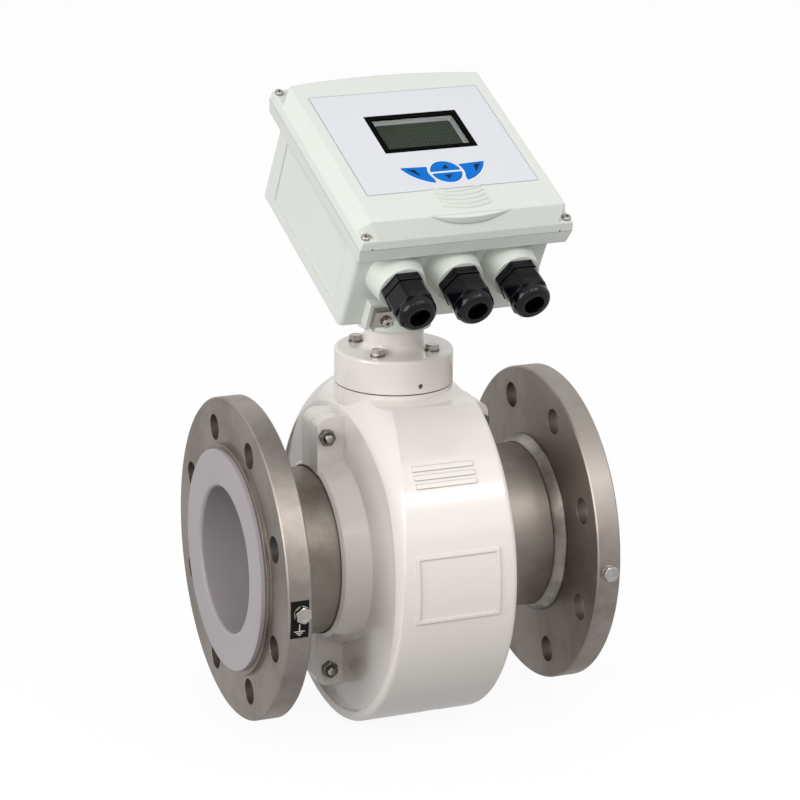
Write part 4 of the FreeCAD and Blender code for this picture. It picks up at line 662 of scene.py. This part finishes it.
def tongue_lip():
    """The thin ends of the grip tongue, which run out along the cover's front edge."""
    middle, reach, low, edge, thick, slope = 1.0, 28.5, 9.25, 13.2, 5.0, 0.475
    bend = (edge - low) / reach ** 2
    rings = []
    for step in range(41):
        dx = reach * (step / 20 - 1)
        front = low + bend * dx ** 2
        depth = max(thick * (1 - (dx / reach) ** 2), 0.05)
        back = edge - slope * depth + 0.4
        x = middle + dx
        rings.append([on_face(x, front, FACE + 0.03), on_face(x, front, FACE - depth),
                      on_face(x, back, FACE - depth), on_face(x, edge + 0.4, FACE + 0.03)])
    piece = Piece("tongue_lip", grey)
    made = piece.rings(rings, smooth=False)
    piece.cap(made[0])
    piece.cap(made[-1], flip=True)
    piece.finish("cover", finish="grey_plastic")


welds()
clamp_hardware()
turret_hardware()
earth_hardware()
recessed_screws()
earth_sign()
# painted shade: a flat grey line stands for the shaded groove round the film's edge
shade_line_frame("film_edge_groove_shade", (-61.0, 61.0, 39.0, 142.6), 0.30, FILM_TOP + 0.02, groove_shade_grey, radius=1.2)
key_halos()
key_signs()
display_rim()
rim_hole_shades()
tongue_lip()


# ---------------------------------------------------------------- stage, light and camera
def white_for_rays(tree, lit, kind, shares):
    """Mixes the lit shader with plain white, by the given share for each kind of ray."""
    white = tree.nodes.new(kind)
    white.inputs["Color"].default_value = (1, 1, 1, 1)
    white.inputs["Strength"].default_value = 1.0
    path = tree.nodes.new("ShaderNodeLightPath")
    chosen = None
    for ray, share in shares.items():
        part = tree.nodes.new("ShaderNodeMath")
        part.operation = "MULTIPLY"
        part.inputs[1].default_value = share
        tree.links.new(path.outputs[ray], part.inputs[0])
        if chosen:
            most = tree.nodes.new("ShaderNodeMath")
            most.operation = "MAXIMUM"
            tree.links.new(chosen, most.inputs[0])
            tree.links.new(part.outputs[0], most.inputs[1])
            chosen = most.outputs[0]
        else:
            chosen = part.outputs[0]
    mix = tree.nodes.new("ShaderNodeMixShader")
    tree.links.new(chosen, mix.inputs[0])
    tree.links.new(lit, mix.inputs[1])
    tree.links.new(white.outputs[0], mix.inputs[2])
    return mix.outputs[0]


def stage():
    bpy.ops.mesh.primitive_plane_add(size=40, location=(0, 0, -0.1215))
    floor = bpy.context.object
    floor.name = "floor"
    pale = plain("floor_pale", (0.32, 0.32, 0.32), 0.9, 4.0, 0.0, 0.01, Specular_IOR_Level=0.0)
    tree = pale.node_tree
    shader = tree.nodes["Principled BSDF"]
    tone = tree.nodes.new("ShaderNodeMix")
    tone.data_type = "RGBA"
    tone.inputs["B"].default_value = (1.0, 1.0, 1.0, 1)
    tree.links.new(shader.inputs["Base Color"].links[0].from_socket, tone.inputs["A"])
    tree.links.new(tree.nodes.new("ShaderNodeLightPath").outputs["Is Camera Ray"], tone.inputs["Factor"])
    tree.links.new(tone.outputs["Result"], shader.inputs["Base Color"])
    tree.links.new(white_for_rays(tree, shader.outputs[0], "ShaderNodeEmission",
                                  {"Is Camera Ray": 0.93, "Is Glossy Ray": 0.55, "Is Transmission Ray": 0.93}),
                   tree.nodes["Material Output"].inputs["Surface"])
    floor.data.materials.append(pale)

    world = bpy.data.worlds.new("studio")
    bpy.context.scene.world = world
    world.use_nodes = True
    tree = world.node_tree
    soft = tree.nodes["Background"]
    soft.inputs["Color"].default_value = (1, 1, 1, 1)
    soft.inputs["Strength"].default_value = 0.70
    tree.links.new(white_for_rays(tree, soft.outputs[0], "ShaderNodeBackground",
                                  {"Is Camera Ray": 1.0, "Is Glossy Ray": 1.0, "Is Transmission Ray": 1.0}),
                   tree.nodes["World Output"].inputs["Surface"])


def softbox(name, place, aim, wide, high, power):
    data = bpy.data.lights.new(name, "AREA")
    data.shape = "RECTANGLE"
    data.size = wide
    data.size_y = high
    data.energy = power
    lamp = bpy.data.objects.new(name, data)
    bpy.context.scene.collection.objects.link(lamp)
    lamp.location = place
    lamp.rotation_euler = (Vector(aim) - Vector(place)).to_track_quat("-Z", "Y").to_euler()


def camera():
    data = bpy.data.cameras.new("camera")
    data.sensor_width = 36.0
    data.lens = 133.23
    data.clip_end = 100
    shot = bpy.data.objects.new("camera", data)
    bpy.context.scene.collection.objects.link(shot)
    ahead = Vector((0.36802, 0.88344, -0.29001)).normalized()
    right = Vector((0.92445, -0.38111, 0.01218))
    right = (right - ahead * right.dot(ahead)).normalized()
    up = right.cross(ahead)
    turn = Matrix((right, up, -ahead)).transposed().to_4x4()
    shot.matrix_world = Matrix.Translation((-0.73881, -1.77965, 0.68360)) @ turn
    bpy.context.scene.camera = shot


stage()
softbox("key", (0.45, -1.75, 1.55), (0, 0, 0.05), 2.0, 2.0, 14)
softbox("left", (-2.1, -0.9, 0.7), (0, 0, 0.0), 1.6, 1.6, 34)
softbox("spark", (0.9, -1.7, 1.6), (0, 0, 0.1), 0.16, 0.16, 3.5)
softbox("spark_middle", (0.1, -1.9, 1.9), (0, 0, 0.1), 0.09, 0.09, 1.4)
softbox("spark_left", (-0.9, -1.8, 1.3), (0, 0, 0.1), 0.09, 0.09, 1.2)
camera()
bpy.context.scene.view_settings.view_transform = "Standard"
